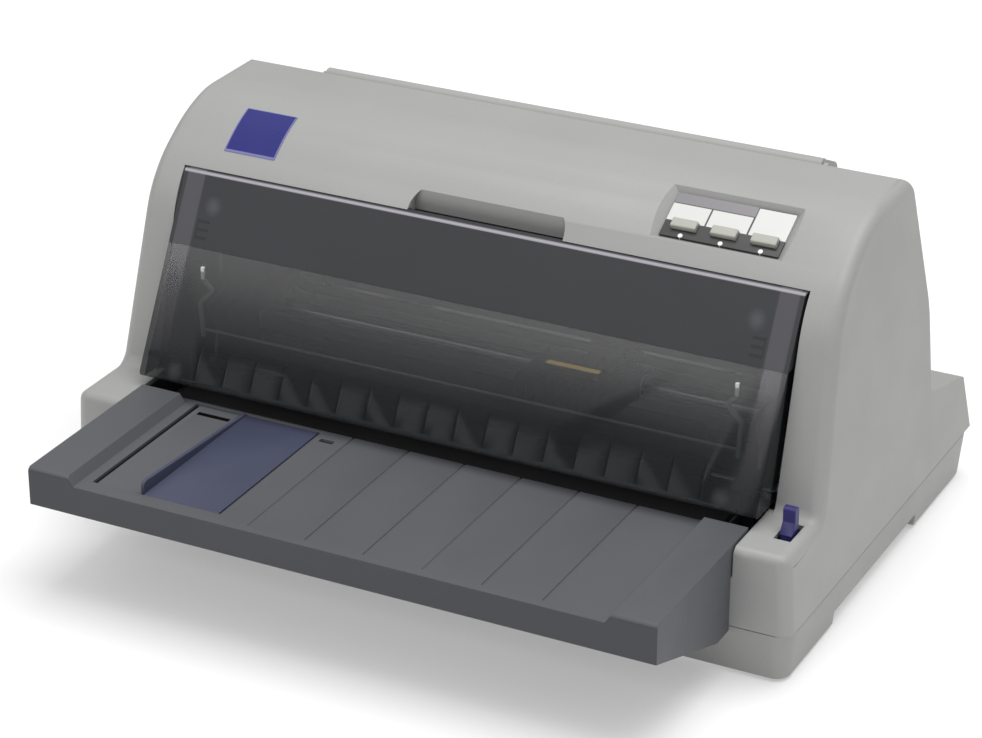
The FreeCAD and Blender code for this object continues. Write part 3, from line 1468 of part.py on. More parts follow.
def make_paper_guides():
    top = s.tray_floor_height
    low = top - s.guide_plate_thick
    front = front_y + s.tray_back_setback + s.fit_gap
    half = frame_inner
    front_end = front_feed()[0] - s.feed_radius - s.fit_gap
    plate = block("front_guide_plate", (-half, half), (front, front_end), (low, top))
    lip = block("front_guide_lip", (-half, half), (front_end - s.guide_plate_thick, front_end),
                (low - s.beam_depth, low))
    node("front_paper_guide", fuse("front_paper_guide", plate, lip))
    rear_start = rear_feed()[0] + s.feed_radius + s.fit_gap
    rear_end = platen_y + s.tractor_front_lag - s.fit_gap * 4
    inner = s.tractor_pitch_half + s.tractor_width * 3 / 2
    plate = block("rear_guide_plate", (-inner, inner), (rear_start, rear_end), (low, top))
    node("rear_paper_guide", plate)
    beam_front = front_end - s.beam_depth - s.guide_plate_thick
    front_beam = beam("front_beam", (beam_front, beam_front + s.beam_depth), (low - s.beam_height, low),
                      frame_inner)
    rear_beam = beam("rear_beam", (rear_end - s.beam_depth, rear_end), (low - s.beam_height, low), inner)
    node("cross_beams", group("cross_beams", front_beam, rear_beam))


def beam(name, y_pair, z_pair, half):
    """Pressed steel channel across the machine, open below."""
    outer = block(name + "_outer", (-half, half), y_pair, z_pair)
    thick = s.beam_thick
    inner = block(name + "_inner", (-frame_outer, frame_outer), (y_pair[0] + thick, y_pair[1] - thick),
                  (z_pair[0] - over, z_pair[1] - thick))
    return cut(name, outer, inner)


def sprocket_pins(word, centre, drive):
    """Four bars through the wheel whose ends are its eight pins."""
    pins = []
    thick = s.sprocket_pin_radius * 2
    length = (s.sprocket_radius + s.sprocket_pin_height) * 2
    for number, angle in enumerate((0, 45, 90, 135), 1):
        y = drive[0] - thick / 2 * cosine(angle) + length / 2 * sine(angle)
        z = drive[1] - thick / 2 * sine(angle) - length / 2 * cosine(angle)
        low = centre - s.sprocket_pin_radius
        bar = block("sprocket_pins_%s_%d" % (word, number), (low, low + thick), (y, y + thick), (z, z + length))
        pins.append(place(bar, low, y, z, FreeCAD.Rotation(X_AXIS, angle)))
    return pins


def make_tractors(tractor_gear):
    rod_at = tractor_rod()
    drive = tractor_drive()
    shaft_at = (platen_y + s.shaft_lag, s.shaft_height)
    rods = []
    for word, centre, radius in (("carriage_steel", shaft_at, s.shaft_radius),
                                 ("tractor_rod", rod_at, s.tractor_rod_radius)):
        rods.append(rod(word, "x", (-frame_inner, centre[0], centre[1]), frame_inner * 2, radius))
    node("guide_shafts", group("guide_shafts", *rods))
    half = s.tractor_square / 2
    side = s.tractor_square / 2 * cosine(45)
    bar = block("tractor_bar", (-frame_inner + s.fit_gap, frame_inner - s.fit_gap),
                (drive[0] - side, drive[0] + side), (drive[1] - side, drive[1] + side))
    reach = s.gear_gap + s.gear_width + s.frame_thick + s.fit_gap
    left = rod("tractor_journal_left", "x", (-frame_inner + s.fit_gap - reach, drive[0], drive[1]), reach, half)
    right = rod("tractor_journal_right", "x", (frame_inner - s.fit_gap, drive[0], drive[1]),
                s.frame_thick + s.fit_gap * 2, half)
    steel = fuse("tractor_steel", bar, left, right)
    node("tractor_shaft", group("tractor_shaft", steel, tractor_gear))
    start = platen_y + s.tractor_front_lag
    end = start + s.tractor_length
    top = paper_z - s.fit_gap
    for sign, word in ((-1, "left"), (1, "right")):
        centre = s.tractor_pitch_half * sign
        x_pair = (centre - s.tractor_width / 2, centre + s.tractor_width / 2)
        body = block("tractor_block_" + word, x_pair, (start, end), (s.tractor_floor, top))
        slot_half = s.sprocket_width / 2 + s.fit_gap
        slot = block("tractor_slot_" + word, (centre - slot_half, centre + slot_half),
                     (drive[0] - s.sprocket_radius - s.wall, end + over), (s.tractor_floor - over, top + over))
        hole = rod("tractor_hole_" + word, "x", (x_pair[0] - over, rod_at[0], rod_at[1]),
                   s.tractor_width + over * 2, s.tractor_rod_radius + s.running_gap)
        tunnel = rod("tractor_tunnel_" + word, "x", (x_pair[0] - over, drive[0], drive[1]),
                     s.tractor_width + over * 2, s.tractor_square / 2 + s.fit_gap)
        hinge_x = centre + (s.tractor_width / 2 + s.flap_thick) * sign
        ear_x = mirror_pair(s.tractor_pitch_half + s.tractor_width / 2 - s.fit_gap,
                            s.tractor_pitch_half + s.tractor_width / 2 + s.flap_thick * 2, sign)
        ear = block("tractor_ear_" + word, ear_x, (start, start + s.wall), (top - s.wall * 2, top + s.flap_lift))
        pin = rod("flap_pin_" + word, "y", (hinge_x, start, top), s.tractor_length - s.wall, s.flap_thick / 2)
        solid = cut("tractor_frame_" + word, fuse("tractor_raw_" + word, body, ear), slot, hole, tunnel)
        node("tractor_" + word, fuse("tractor_" + word, solid, pin))
        wheel = rod("sprocket_wheel_" + word, "x", (centre - s.sprocket_width / 2, drive[0], drive[1]),
                    s.sprocket_width, s.sprocket_radius)
        teeth = sprocket_pins(word, centre, drive)
        bore_side = side + s.running_gap * 2
        bore = block("sprocket_bore_" + word, (centre - s.sprocket_width, centre + s.sprocket_width),
                     (drive[0] - bore_side, drive[0] + bore_side), (drive[1] - bore_side, drive[1] + bore_side))
        node("tractor_sprocket_" + word, cut("tractor_sprocket_" + word, fuse("sprocket_raw_" + word, wheel, *teeth),
                                             bore))
        flap_low = top + s.flap_lift
        near = mirror_pair(s.tractor_pitch_half - s.tractor_width / 2,
                           s.tractor_pitch_half + s.tractor_width / 2 + s.flap_thick * 2, sign)
        lid_y = (start + s.wall + s.fit_gap, end - s.wall)
        lid = block("flap_lid_" + word, near, lid_y, (flap_low, flap_low + s.flap_thick))
        lid_slot = block("flap_slot_" + word, (centre - slot_half, centre + slot_half),
                         (drive[0] - s.sprocket_radius, lid_y[1] + over), (flap_low - over, flap_low + over))
        strap = block("flap_strap_" + word, mirror_pair(s.tractor_pitch_half + s.tractor_width / 2 + s.fit_gap,
                                                        s.tractor_pitch_half + s.tractor_width / 2
                                                        + s.flap_thick * 2, sign),
                      lid_y, (top, flap_low + s.flap_thick))
        knuckle = rod("flap_knuckle_" + word, "y", (hinge_x, lid_y[0], top), lid_y[1] - lid_y[0],
                      s.flap_thick - s.fit_gap)
        barrel = rod("flap_bore_" + word, "y", (hinge_x, start - over, top), s.tractor_length + over * 2,
                     s.flap_thick / 2 + s.running_gap)
        node("tractor_flap_" + word, cut("tractor_flap_" + word, fuse("flap_raw_" + word, lid, strap, knuckle), lid_slot,
                                         barrel))


def make_motors():
    y, z = feed_motor_centre()
    start = -frame_inner
    node("feed_motor", rod("feed_motor", "x", (start, y, z), s.feed_motor_length, s.motor_radius))
    pulley_y = platen_y + s.pulley_lag
    low = s.rail_height - s.carriage_motor_length
    node("carriage_motor", rod("carriage_motor", "z", (s.pulley_offset, pulley_y, low),
                               s.carriage_motor_length, s.motor_radius))


def make_carriage_drive():
    y = platen_y + s.pulley_lag
    low = s.pulley_floor
    pins = []
    wheels = []
    for side, word, bore in ((1, "drive", s.motor_shaft_radius), (-1, "idler", s.stub_radius + s.running_gap)):
        x = s.pulley_offset * side
        wheel = rod(word + "_pulley_wheel", "z", (x, y, low), s.pulley_height, s.pulley_radius - s.running_gap * 2)
        thick = (s.pulley_height - s.belt_height) / 2 - s.running_gap
        rim = rod(word + "_pulley_rim", "z", (x, y, low), thick, s.pulley_radius + s.belt_thick)
        hole = rod(word + "_pulley_bore", "z", (x, y, low - over), s.pulley_height + over * 2, bore)
        wheels.append(cut(word + "_pulley", fuse(word + "_pulley_raw", wheel, rim), hole))
        radius = s.motor_shaft_radius if side > 0 else s.stub_radius
        pins.append(rod(word + "_pulley_pin", "z", (x, y, s.rail_height), s.pulley_floor + s.pulley_height
                        - s.rail_height, radius))
    node("drive_pulley", group("drive_pulley", wheels[0], pins[0]))
    node("idler_pulley", wheels[1])
    belt_low = low + (s.pulley_height - s.belt_height) / 2
    node("timing_belt", cut("timing_belt", loop_form("belt_outer", s.pulley_radius + s.belt_thick, belt_low,
                                                     s.belt_height),
                            loop_form("belt_inner", s.pulley_radius, belt_low - over, s.belt_height + over * 2)))
    front = platen_y + s.rail_front_lag
    lip = platen_y + s.rail_lip_lag
    top = s.rail_height + s.rail_thick
    plate = block("rail_plate", (-frame_inner, frame_inner), (front, lip + s.rail_thick), (s.rail_height, top))
    upright = block("rail_lip", (-frame_inner, frame_inner), (lip, lip + s.rail_thick), (top, s.rail_lip_top))
    hole = rod("rail_hole", "z", (s.pulley_offset, y, s.rail_height - over), over * 3,
               s.motor_shaft_radius + s.fit_gap)
    node("carriage_rail", fuse("carriage_rail", cut("rail_sheet", fuse("rail_raw", plate, upright), hole), pins[1]))


def loop_form(name, radius, low, height):
    y = platen_y + s.pulley_lag
    x = s.pulley_offset
    return fuse(name, block(name + "_run", (-x, x), (y - radius, y + radius), (low, low + height)),
                rod(name + "_left", "z", (-x, y, low), height, radius),
                rod(name + "_right", "z", (x, y, low), height, radius))


def make_carriage():
    shaft = (platen_y + s.shaft_lag, s.shaft_height)
    x = s.carriage_offset
    x_pair = (x - s.carriage_half, x + s.carriage_half)
    front = platen_y + s.carriage_front_lag
    back = platen_y + s.carriage_back_lag
    bore = s.shaft_radius + s.bush_wall
    body = prism("carriage_body", "YZ", [
        (front, s.head_floor - s.wall), (shaft[0] - bore - s.wall / 2, s.head_floor - s.wall),
        (shaft[0] - bore, s.carriage_floor), (back, s.carriage_floor, s.wall), (back, s.carriage_top, s.wall),
        (front, s.carriage_top)], *x_pair, holes=[(shaft, bore)])
    arm_x = (x - s.arm_half, x + s.arm_half)
    lip = platen_y + s.rail_lip_lag
    arm = block("carriage_arm", arm_x, (back - s.wall, lip + s.rail_thick + s.slipper_lip),
                (s.carriage_top - s.slipper_lip, s.carriage_top))
    shoe = block("carriage_shoe", arm_x, (lip - s.slipper_lip, lip + s.rail_thick + s.slipper_lip),
                 (s.head_floor, s.carriage_top))
    slot = block("shoe_slot", (arm_x[0] - over, arm_x[1] + over),
                 (lip - s.running_gap * 2, lip + s.rail_thick + s.running_gap * 2),
                 (s.head_floor - over, s.rail_lip_top + s.fit_gap))
    run = platen_y + s.pulley_lag - s.pulley_radius
    clamp_top = s.pulley_floor + s.pulley_height
    clamp = block("belt_clamp", arm_x, (run - s.belt_thick - s.wall, run + s.wall),
                  (s.carriage_top - s.wall / 2, clamp_top))
    belt_slot = block("belt_slot", (arm_x[0] - over, arm_x[1] + over),
                      (run - s.belt_thick - s.fit_gap, run + s.fit_gap),
                      (s.pulley_floor + s.fit_gap * 2, clamp_top - s.running_gap * 4))
    node("carriage", cut("carriage", fuse("carriage_raw", body, arm, shoe, clamp), slot, belt_slot))
    ring = rod("bush_ring", "x", (x_pair[0], shaft[0], shaft[1]), s.carriage_half * 2, bore)
    hole = rod("bush_hole", "x", (x_pair[0] - over, shaft[0], shaft[1]), s.carriage_half * 2 + over * 2,
               s.shaft_radius + s.running_gap)
    node("carriage_bushes", cut("carriage_bushes", ring, hole))
    make_print_head(x, front)


def make_print_head(x, back):
    head_x = (x - s.head_half, x + s.head_half)
    y_pair = (platen_y - s.head_front_lead, back)
    base = block("head_base", head_x, y_pair, (s.head_floor, s.fin_root))
    fins = []
    pitch = (s.head_half * 2 - s.fin_thick) / (s.fin_count - 1)
    for number in range(int(value_of(s.fin_count))):
        low = head_x[0] + pitch * number
        fins.append(block("fin_%d" % (number + 1), (low, low + s.fin_thick), y_pair, (s.fin_root, s.head_top)))
    core = block("head_core", (x - s.clamp_half, x + s.clamp_half), (platen_y - s.clamp_depth, platen_y + s.clamp_depth),
                 (s.fin_root, s.head_top))
    nose = prism("head_nose", "YZ", [
        (platen_y - s.nose_depth / 4, s.nose_foot), (platen_y + s.nose_depth / 4, s.nose_foot),
        (platen_y + s.nose_depth, s.head_floor), (platen_y - s.nose_depth, s.head_floor)],
        x - s.nose_half, x + s.nose_half)
    node("print_head", fuse("print_head", base, core, nose, *fins))
    node("head_clamp", block("head_clamp", (x - s.clamp_half, x + s.clamp_half),
                             (platen_y - s.clamp_depth / 2, platen_y + s.clamp_depth / 2),
                             (s.head_top, s.head_top + s.clamp_height)))


def make_ribbon():
    front = platen_y + s.cartridge_front_lag
    back = platen_y + s.cartridge_back_lag
    floor = s.cartridge_floor
    body = block("cartridge_body", (-s.cartridge_half, s.cartridge_half), (front, back),
                 (floor, floor + s.cartridge_height))
    parts = [body]
    arm_end = platen_y - s.ribbon_width / 2 - s.wall
    arm_back = platen_y + s.arm_back_lag
    for side, word in ((-1, "left"), (1, "right")):
        outer = frame_inner - s.fit_gap
        arm_x = mirror_pair(s.arm_inner, outer, side)
        parts.append(block("cartridge_arm_" + word, arm_x, (arm_end, arm_back),
                           (floor, floor + s.cartridge_arm_height)))
        parts.append(block("cartridge_tip_" + word, arm_x, (arm_end, platen_y + s.ribbon_width / 2 + s.wall),
                           (s.ribbon_height, floor)))
        bridge_x = mirror_pair(s.cartridge_half - s.wall, outer, side)
        parts.append(block("cartridge_bridge_" + word, bridge_x, (front + s.wall, arm_back),
                           (floor, floor + s.cartridge_arm_height)))
    node("ribbon_cartridge", fuse("ribbon_cartridge", *parts))
    node("ink_ribbon", block("ink_ribbon", (-s.arm_inner, s.arm_inner),
                             (platen_y - s.ribbon_width / 2, platen_y + s.ribbon_width / 2),
                             (s.ribbon_height, s.ribbon_height + s.ribbon_thick)))
    x = -s.cartridge_half + s.knob_inset
    top = floor + s.cartridge_height
    middle = (front + back) / 2
    cap = rod("knob_cap", "z", (x, middle, top + s.fit_gap), s.knob_height, s.knob_radius)
    grip = block("knob_grip", (x - s.knob_radius + s.fit_gap, x + s.knob_radius - s.fit_gap),
                 (middle - s.wall / 2, middle + s.wall / 2),
                 (top + s.knob_height, top + s.knob_height + s.wall))
    node("ribbon_knob", fuse("ribbon_knob", cap, grip))


def make_electronics(panel_board, rear_sheet):
    plate_low = s.frame_floor - s.base_plate_thick
    y_pair = (front_y + s.base_plate_margin, rear_y - s.base_plate_margin)
    plate = block("base_sheet", (-s.base_plate_half, s.base_plate_half), y_pair, (plate_low, s.frame_floor))
    standoffs = []
    left = s.board_left
    front = platen_y + s.board_front_lag
    inset = s.standoff_radius * 2
    for number, (x, y) in enumerate([(left + inset, front + inset), (left + s.board_width - inset, front + inset),
                                     (left + inset, front + s.board_depth - inset),
                                     (left + s.board_width - inset, front + s.board_depth - inset)], 1):
        standoffs.append(stud("standoff_%d" % number, (x, y, s.frame_floor), s.board_height - s.frame_floor,
                              s.standoff_radius, STANDOFF_SIDES))
    node("base_plate", fuse("base_plate", plate, rear_sheet, *standoffs))
    board = block("main_board_sheet", (left, left + s.board_width), (front, front + s.board_depth),
                  (s.board_height, s.board_height + s.board_thick))
    chips = []
    top = s.board_height + s.board_thick
    for number in range(CHIP_COUNT):
        x = left + s.chip_size * (number * 2 + 1)
        y = front + s.chip_size * (2 + number % 2 * 2)
        chips.append(block("chip_%d" % (number + 1), (x, x + s.chip_size), (y, y + s.chip_size),
                           (top, top + s.chip_height)))
    node("circuit_boards", group("circuit_boards", board, panel_board, *chips))
    start = platen_y + s.supply_front_lag
    node("power_supply", block("power_supply", (s.supply_left, s.supply_left + s.supply_width),
                               (start, start + s.supply_depth), (s.frame_floor, s.frame_floor + s.supply_height)))


def make_rear_fittings():
    """Sockets and switch, and the upright sheet that they are fixed to."""
    plate_y = tail_y - s.plate_lag / 2
    low = s.frame_floor
    depth = s.inlet_depth
    rear_sheet = block("connector_plate", (s.power_bay_left, s.port_bay_left + s.port_bay_width),
                       (plate_y - depth - s.plate_thick, plate_y - depth), (low, low + s.plate_height))
    middle_z = s.bay_floor + s.bay_height / 2
    inlet_x = s.power_bay_left + s.power_bay_width / 4
    switch_x = s.power_bay_left + s.power_bay_width * 3 / 4
    parallel_x = s.port_bay_left + s.port_bay_width / 3
    usb_x = s.port_bay_left + s.port_bay_width * 5 / 6
    fittings = {}
    for word, x, width, height in (("power_inlet", inlet_x, s.inlet_width, s.inlet_height),
                                   ("parallel_connector", parallel_x, s.parallel_width, s.parallel_height),
                                   ("usb_port", usb_x, s.usb_width, s.usb_height)):
        x_pair = (x - width / 2, x + width / 2)
        z_pair = (middle_z - height / 2, middle_z + height / 2)
        shell = block(word + "_shell", x_pair, (plate_y - depth, plate_y + depth / 2), z_pair)
        wall = s.socket_wall
        hollow = block(word + "_hollow", (x_pair[0] + wall, x_pair[1] - wall),
                       (plate_y - depth + wall, plate_y + depth), (z_pair[0] + wall, z_pair[1] - wall))
        fittings[word] = cut(word, shell, hollow)
    width = s.switch_width
    height = s.switch_height
    x_pair = (switch_x - width / 2, switch_x + width / 2)
    z_pair = (middle_z - height / 2, middle_z + height / 2)
    wall = s.socket_wall
    shell = block("switch_shell", x_pair, (plate_y - depth, plate_y + wall), z_pair)
    hollow = block("switch_hollow", (x_pair[0] + wall, x_pair[1] - wall), (plate_y - depth + wall, plate_y + depth),
                   (z_pair[0] + wall, z_pair[1] - wall))
    pin = rod("switch_pin", "x", (x_pair[0], plate_y - wall, middle_z), width, wall / 2)
    housing = fuse("switch_housing", cut("switch_frame", shell, hollow), pin)
    half = height / 2 - wall - s.fit_gap * 3
    rocker = prism("rocker_form", "YZ", [
        (plate_y - wall * 2, middle_z - half + wall), (plate_y, middle_z - half), (plate_y + wall, middle_z - half),
        (plate_y + wall / 2, middle_z), (plate_y + wall, middle_z + half), (plate_y, middle_z + half),
        (plate_y - wall * 2, middle_z + half - wall)],
        x_pair[0] + wall + s.fit_gap, x_pair[1] - wall - s.fit_gap,
        holes=[((plate_y - wall, middle_z), wall / 2 + s.running_gap)])
    node("power_switch", rocker)
    node("power_inlet", group("power_inlet_and_switch", fittings["power_inlet"], housing))
    node("interface_ports", group("interface_ports", fittings["parallel_connector"], fittings["usb_port"]))
    return rear_sheet


def build_all():
    make_upper_case()
    make_lower_case()
    make_feet()
    make_front_tray()
    make_edge_guide()
    make_front_cover()
    make_cover_hinges()
    make_rear_cover()
    make_lever()
    panel_board = make_panel()
    make_side_frames()
    feed_gears = make_gears()
    make_rollers(feed_gears)
    make_paper_guides()
    make_tractors(feed_gears["tractor"])
    make_motors()
    make_carriage_drive()
    make_carriage()
    make_ribbon()
    rear_sheet = make_rear_fittings()
    make_electronics(panel_board, rear_sheet)
    doc.recompute()


def check_document():
    """Stop before writing if any object failed or any sub-part is not a sound shape."""
    faults = []
    for item in doc.Objects:
        if "Invalid" in item.State or "Error" in item.State:
            faults.append("%s: %s" % (item.Name, item.State))
    for name, item in NODES.items():
        shape = item.Shape
        if shape.isNull() or not shape.isValid() or not shape.Solids:
            faults.append(name + ": no sound solid")
    if faults:
        raise RuntimeError("; ".join(faults))


def write_parts():
    os.makedirs("parts", exist_ok=True)
    for name, item in NODES.items():
        item.Shape.exportStep("parts/%s.step" % name)


build_all()
check_document()
write_parts()
print("%d sub-parts written" % len(NODES))
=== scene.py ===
import json
import math

import bmesh
import bpy
from mathutils import Matrix, Vector
from mathutils.bvhtree import BVHTree

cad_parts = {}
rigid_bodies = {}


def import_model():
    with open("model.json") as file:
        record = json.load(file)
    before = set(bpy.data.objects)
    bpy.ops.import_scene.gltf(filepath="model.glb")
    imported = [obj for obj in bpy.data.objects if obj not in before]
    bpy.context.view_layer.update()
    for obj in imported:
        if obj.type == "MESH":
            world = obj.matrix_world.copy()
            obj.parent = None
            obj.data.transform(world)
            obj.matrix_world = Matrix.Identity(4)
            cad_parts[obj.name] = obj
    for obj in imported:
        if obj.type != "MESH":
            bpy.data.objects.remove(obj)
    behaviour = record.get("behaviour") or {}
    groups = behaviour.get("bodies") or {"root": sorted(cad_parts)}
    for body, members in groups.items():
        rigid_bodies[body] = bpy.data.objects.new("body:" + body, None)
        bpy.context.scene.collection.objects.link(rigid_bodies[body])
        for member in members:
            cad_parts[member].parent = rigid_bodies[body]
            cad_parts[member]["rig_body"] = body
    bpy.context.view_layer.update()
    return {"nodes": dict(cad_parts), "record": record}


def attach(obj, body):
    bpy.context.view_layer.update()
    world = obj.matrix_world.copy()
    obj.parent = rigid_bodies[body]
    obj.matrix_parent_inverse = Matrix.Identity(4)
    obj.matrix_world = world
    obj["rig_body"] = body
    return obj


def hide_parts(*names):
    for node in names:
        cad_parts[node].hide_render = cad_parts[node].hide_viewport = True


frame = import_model()
nodes = frame["nodes"]


# Materials

PRINT_SOFT = 0.00015
# Sockets of a colour mix node
MIX_SHARE, MIX_FIRST, MIX_SECOND, MIX_RESULT = 0, 6, 7, 2


def linear(red, green, blue):
    """A display colour, 0 to 255 a channel, as the light values that a shader takes."""
    shares = [value / 255 for value in (red, green, blue)]
    return [v / 12.92 if v <= 0.04045 else ((v + 0.055) / 1.055) ** 2.4 for v in shares]


def scaled(colour, factor):
    return [min(1.0, value * factor) for value in colour]


class Look:
    """A material with helpers that add nodes to its tree."""

    def __init__(self, name, colour, roughness, **values):
        self.material = bpy.data.materials.new(name)
        self.material.use_nodes = True
        self.tree = self.material.node_tree
        self.shader = next(n for n in self.tree.nodes if n.type == "BSDF_PRINCIPLED")
        self.colour = list(colour)
        self.material.diffuse_color = self.colour + [1.0]
        self.put("Base Color", self.colour + [1.0])
        self.put("Roughness", roughness)
        for socket, value in values.items():
            self.put(socket.replace("_", " ").title().replace("Ior", "IOR"), value)
        self.place = None

    def put(self, socket, value):
        self.shader.inputs[socket].default_value = value

    def add(self, kind, **values):
        item = self.tree.nodes.new("ShaderNode" + kind)
        for key, value in values.items():
            setattr(item, key, value)
        return item

    def join(self, source, target):
        self.tree.links.new(source, target)

    def where(self):
        """The point on the piece, in its own rest position."""
        if self.place is None:
            self.place = self.add("TexCoord").outputs["Object"]
        return self.place

    def stretched(self, stretch):
        """The point with each axis multiplied, for brushed and woven finishes."""
        mapping = self.add("Mapping")
        mapping.inputs["Scale"].default_value = stretch
        self.join(self.where(), mapping.inputs["Vector"])
        return mapping.outputs["Vector"]

    def texture(self, kind, scale, **values):
        """A texture node at the point on the piece."""
        item = self.add(kind, **values)
        item.inputs["Scale"].default_value = scale
        self.join(self.where(), item.inputs["Vector"])
        return item

    def noise(self, scale, detail=3.0, stretch=None, rough=0.5):
        item = self.add("TexNoise")
        item.inputs["Scale"].default_value = scale
        item.inputs["Detail"].default_value = detail
        item.inputs["Roughness"].default_value = rough
        self.join(self.stretched(stretch) if stretch else self.where(), item.inputs["Vector"])
        return item.outputs["Fac"]

    def spread(self, source, low, high, start=0.3, end=0.7):
        """Takes a value between start and end to one between low and high."""
        item = self.add("MapRange")
        limits = {"From Min": start, "From Max": end, "To Min": low, "To Max": high}
        for socket, value in limits.items():
            item.inputs[socket].default_value = value
        self.join(source, item.inputs["Value"])
        return item.outputs["Result"]

    def blend(self, share, first, second):
        """Mixes two colours, or the outputs of two nodes, by a share."""
        item = self.add("Mix", data_type="RGBA")
        for socket, value in ((MIX_FIRST, first), (MIX_SECOND, second)):
            if isinstance(value, (list, tuple)):
                item.inputs[socket].default_value = list(value)[:3] + [1.0]
            else:
                self.join(value, item.inputs[socket])
        self.join(share, item.inputs[MIX_SHARE])
        return item.outputs[MIX_RESULT]

    def math(self, operation, first, second=None):
        item = self.add("Math", operation=operation)
        for socket, value in enumerate((first, second)):
            if value is None:
                continue
            if isinstance(value, (int, float)):
                item.inputs[socket].default_value = value
            else:
                self.join(value, item.inputs[socket])
        return item.outputs[0]

    def times(self, first, second):
        return self.math("MULTIPLY", first, second)

    def minus(self, first, second):
        return self.math("SUBTRACT", first, second)

    def axis(self, name):
        item = self.add("SeparateXYZ")
        self.join(self.where(), item.inputs[0])
        return item.outputs[name]

    def within(self, value, low, high, soft=PRINT_SOFT):
        """One where a value lies between two limits, with a soft edge, and zero outside."""
        rise = self.spread(value, 0, 1, low - soft, low + soft)
        fall = self.spread(value, 1, 0, high - soft, high + soft)
        return self.times(rise, fall)

    def patch(self, first, first_limits, second, second_limits, soft=PRINT_SOFT):
        """One where two values both lie between their limits, and zero outside."""
        return self.times(self.within(first, *first_limits, soft),
                          self.within(second, *second_limits, soft))

    def near(self, first, second, place, full, gone):
        """One within a radius of a point in a plane, fading to zero further out."""
        flat = [self.minus(value, middle) for value, middle in zip((first, second), place)]
        squares = [self.times(value, value) for value in flat]
        reach = self.math("SQRT", self.math("ADD", *squares))
        return self.spread(reach, 1, 0, full, gone)

    def surface(self):
        """The colour that reaches the shader so far."""
        return self.shader.inputs["Base Color"].links[0].from_socket

    def tint(self, source):
        self.join(source, self.shader.inputs["Base Color"])

    def gloss(self, source):
        self.join(source, self.shader.inputs["Roughness"])

    def relief(self, height, depth, strength=1.0):
        item = self.add("Bump")
        item.inputs["Strength"].default_value = strength
        item.inputs["Distance"].default_value = depth
        self.join(height, item.inputs["Height"])
        self.join(item.outputs["Normal"], self.shader.inputs["Normal"])


def mottled(look, amount, scale=9):
    """Slow colour drift over a moulding, with faint handling marks."""
    drift = look.spread(look.noise(scale, 4), 0, 1)
    broad = look.blend(drift, scaled(look.colour, 1 - amount), scaled(look.colour, 1 + amount))
    specks = look.spread(look.noise(650, 2), 0, 0.35, 0.62, 0.72)
    return look.blend(specks, broad, scaled(look.colour, 0.86))


def plastic(name, colour, roughness=0.55, grain=2100, depth=0.00003, drift=0.025, **values):
    """Moulded plastic with a spark-eroded grain."""
    look = Look(name, colour, roughness, **values)
    look.tint(mottled(look, drift))
    look.gloss(look.spread(look.noise(30, 3), roughness - 0.05, roughness + 0.05))
    pits = look.math("ADD", look.noise(grain, 2), look.noise(grain / 3.1, 2))
    look.relief(pits, depth, 0.6)
    return look


def steel(name, colour, roughness, stretch, depth=0.00001, **values):
    """Metal with fine lines along the direction in which it was worked."""
    look = Look(name, colour, roughness, metallic=1.0, **values)
    lines = look.noise(60, 5, stretch, 0.65)
    cloud = look.spread(look.noise(22, 3), 0, 1)
    look.tint(look.blend(cloud, scaled(look.colour, 0.86), scaled(look.colour, 1.08)))
    look.gloss(look.spread(lines, roughness - 0.1, roughness + 0.12))
    look.relief(lines, depth, 0.5)
    return look


def rubber(name, colour, roughness=0.75):
    """Dull rubber with a little dust."""
    look = Look(name, colour, roughness)
    dust = look.spread(look.noise(45, 5), 0, 0.7, 0.5, 0.75)
    look.tint(look.blend(dust, look.colour, scaled(look.colour, 1.9)))
    look.gloss(look.spread(look.noise(260, 2), roughness - 0.08, roughness + 0.1))
    look.relief(look.noise(1500, 3), 0.00004, 0.5)
    return look


FINE_GRAIN = 0.00001
CASE = linear(160, 161, 159)
LOOKS = {
    "case_plastic": plastic("case_plastic", CASE, 0.5),
    "base_plastic": plastic("base_plastic", scaled(CASE, 0.97), 0.55),
    "guide_plastic": plastic("guide_plastic", linear(65, 69, 90), 0.45, drift=0.05),
    "lever_plastic": plastic("lever_plastic", linear(42, 37, 104), 0.4, depth=FINE_GRAIN,
                             drift=0.03),
    "button_plastic": plastic("button_plastic", linear(172, 172, 164), 0.42, depth=FINE_GRAIN),
    "black_plastic": plastic("black_plastic", linear(34, 34, 36), 0.45, drift=0.08),
    "grey_plastic": plastic("grey_plastic", linear(120, 122, 124), 0.5),
    "gear_resin": plastic("gear_resin", linear(226, 224, 214), 0.35, depth=FINE_GRAIN),
    "frame_steel": steel("frame_steel", linear(188, 190, 192), 0.36, (1, 1, 14)),
    "shaft_steel": steel("shaft_steel", linear(214, 216, 220), 0.2, (0.4, 20, 20)),
    "cast_alloy": steel("cast_alloy", linear(96, 98, 102), 0.48, (6, 6, 6), 0.00004),
    "bronze": steel("bronze", linear(196, 150, 84), 0.4, (1, 12, 12)),
    "gold_clip": plastic("gold_clip", linear(246, 214, 132), 0.3, drift=0.05),
    "roller_rubber": rubber("roller_rubber", linear(36, 36, 38)),
    "foot_rubber": rubber("foot_rubber", linear(50, 50, 52), 0.85),
}
ZINC = plastic("zinc_edge", linear(222, 223, 220), 0.4, depth=FINE_GRAIN, specular_ior_level=0.8)


CLAMP_STRIPE = ((0.0348, 0.0692), (0.0016, 0.0064))


def make_clamp():
    """Dark holder with a bright gilt bar on top, whose painted glow shows through the cover."""
    look = plastic("clamp_gilt_painted_glow", linear(60, 54, 40), 0.3, drift=0.05, emission_strength=0.6)
    bar = look.patch(look.axis("X"), CLAMP_STRIPE[0], look.axis("Y"), CLAMP_STRIPE[1])
    look.tint(look.blend(bar, look.surface(), linear(252, 224, 140)))
    # Painted light: the bar glows by emission, though it is no lamp.
    painted_glow = look.blend(bar, (0.0, 0.0, 0.0), linear(255, 222, 130))
    look.join(painted_glow, look.shader.inputs["Emission Color"])
    return look


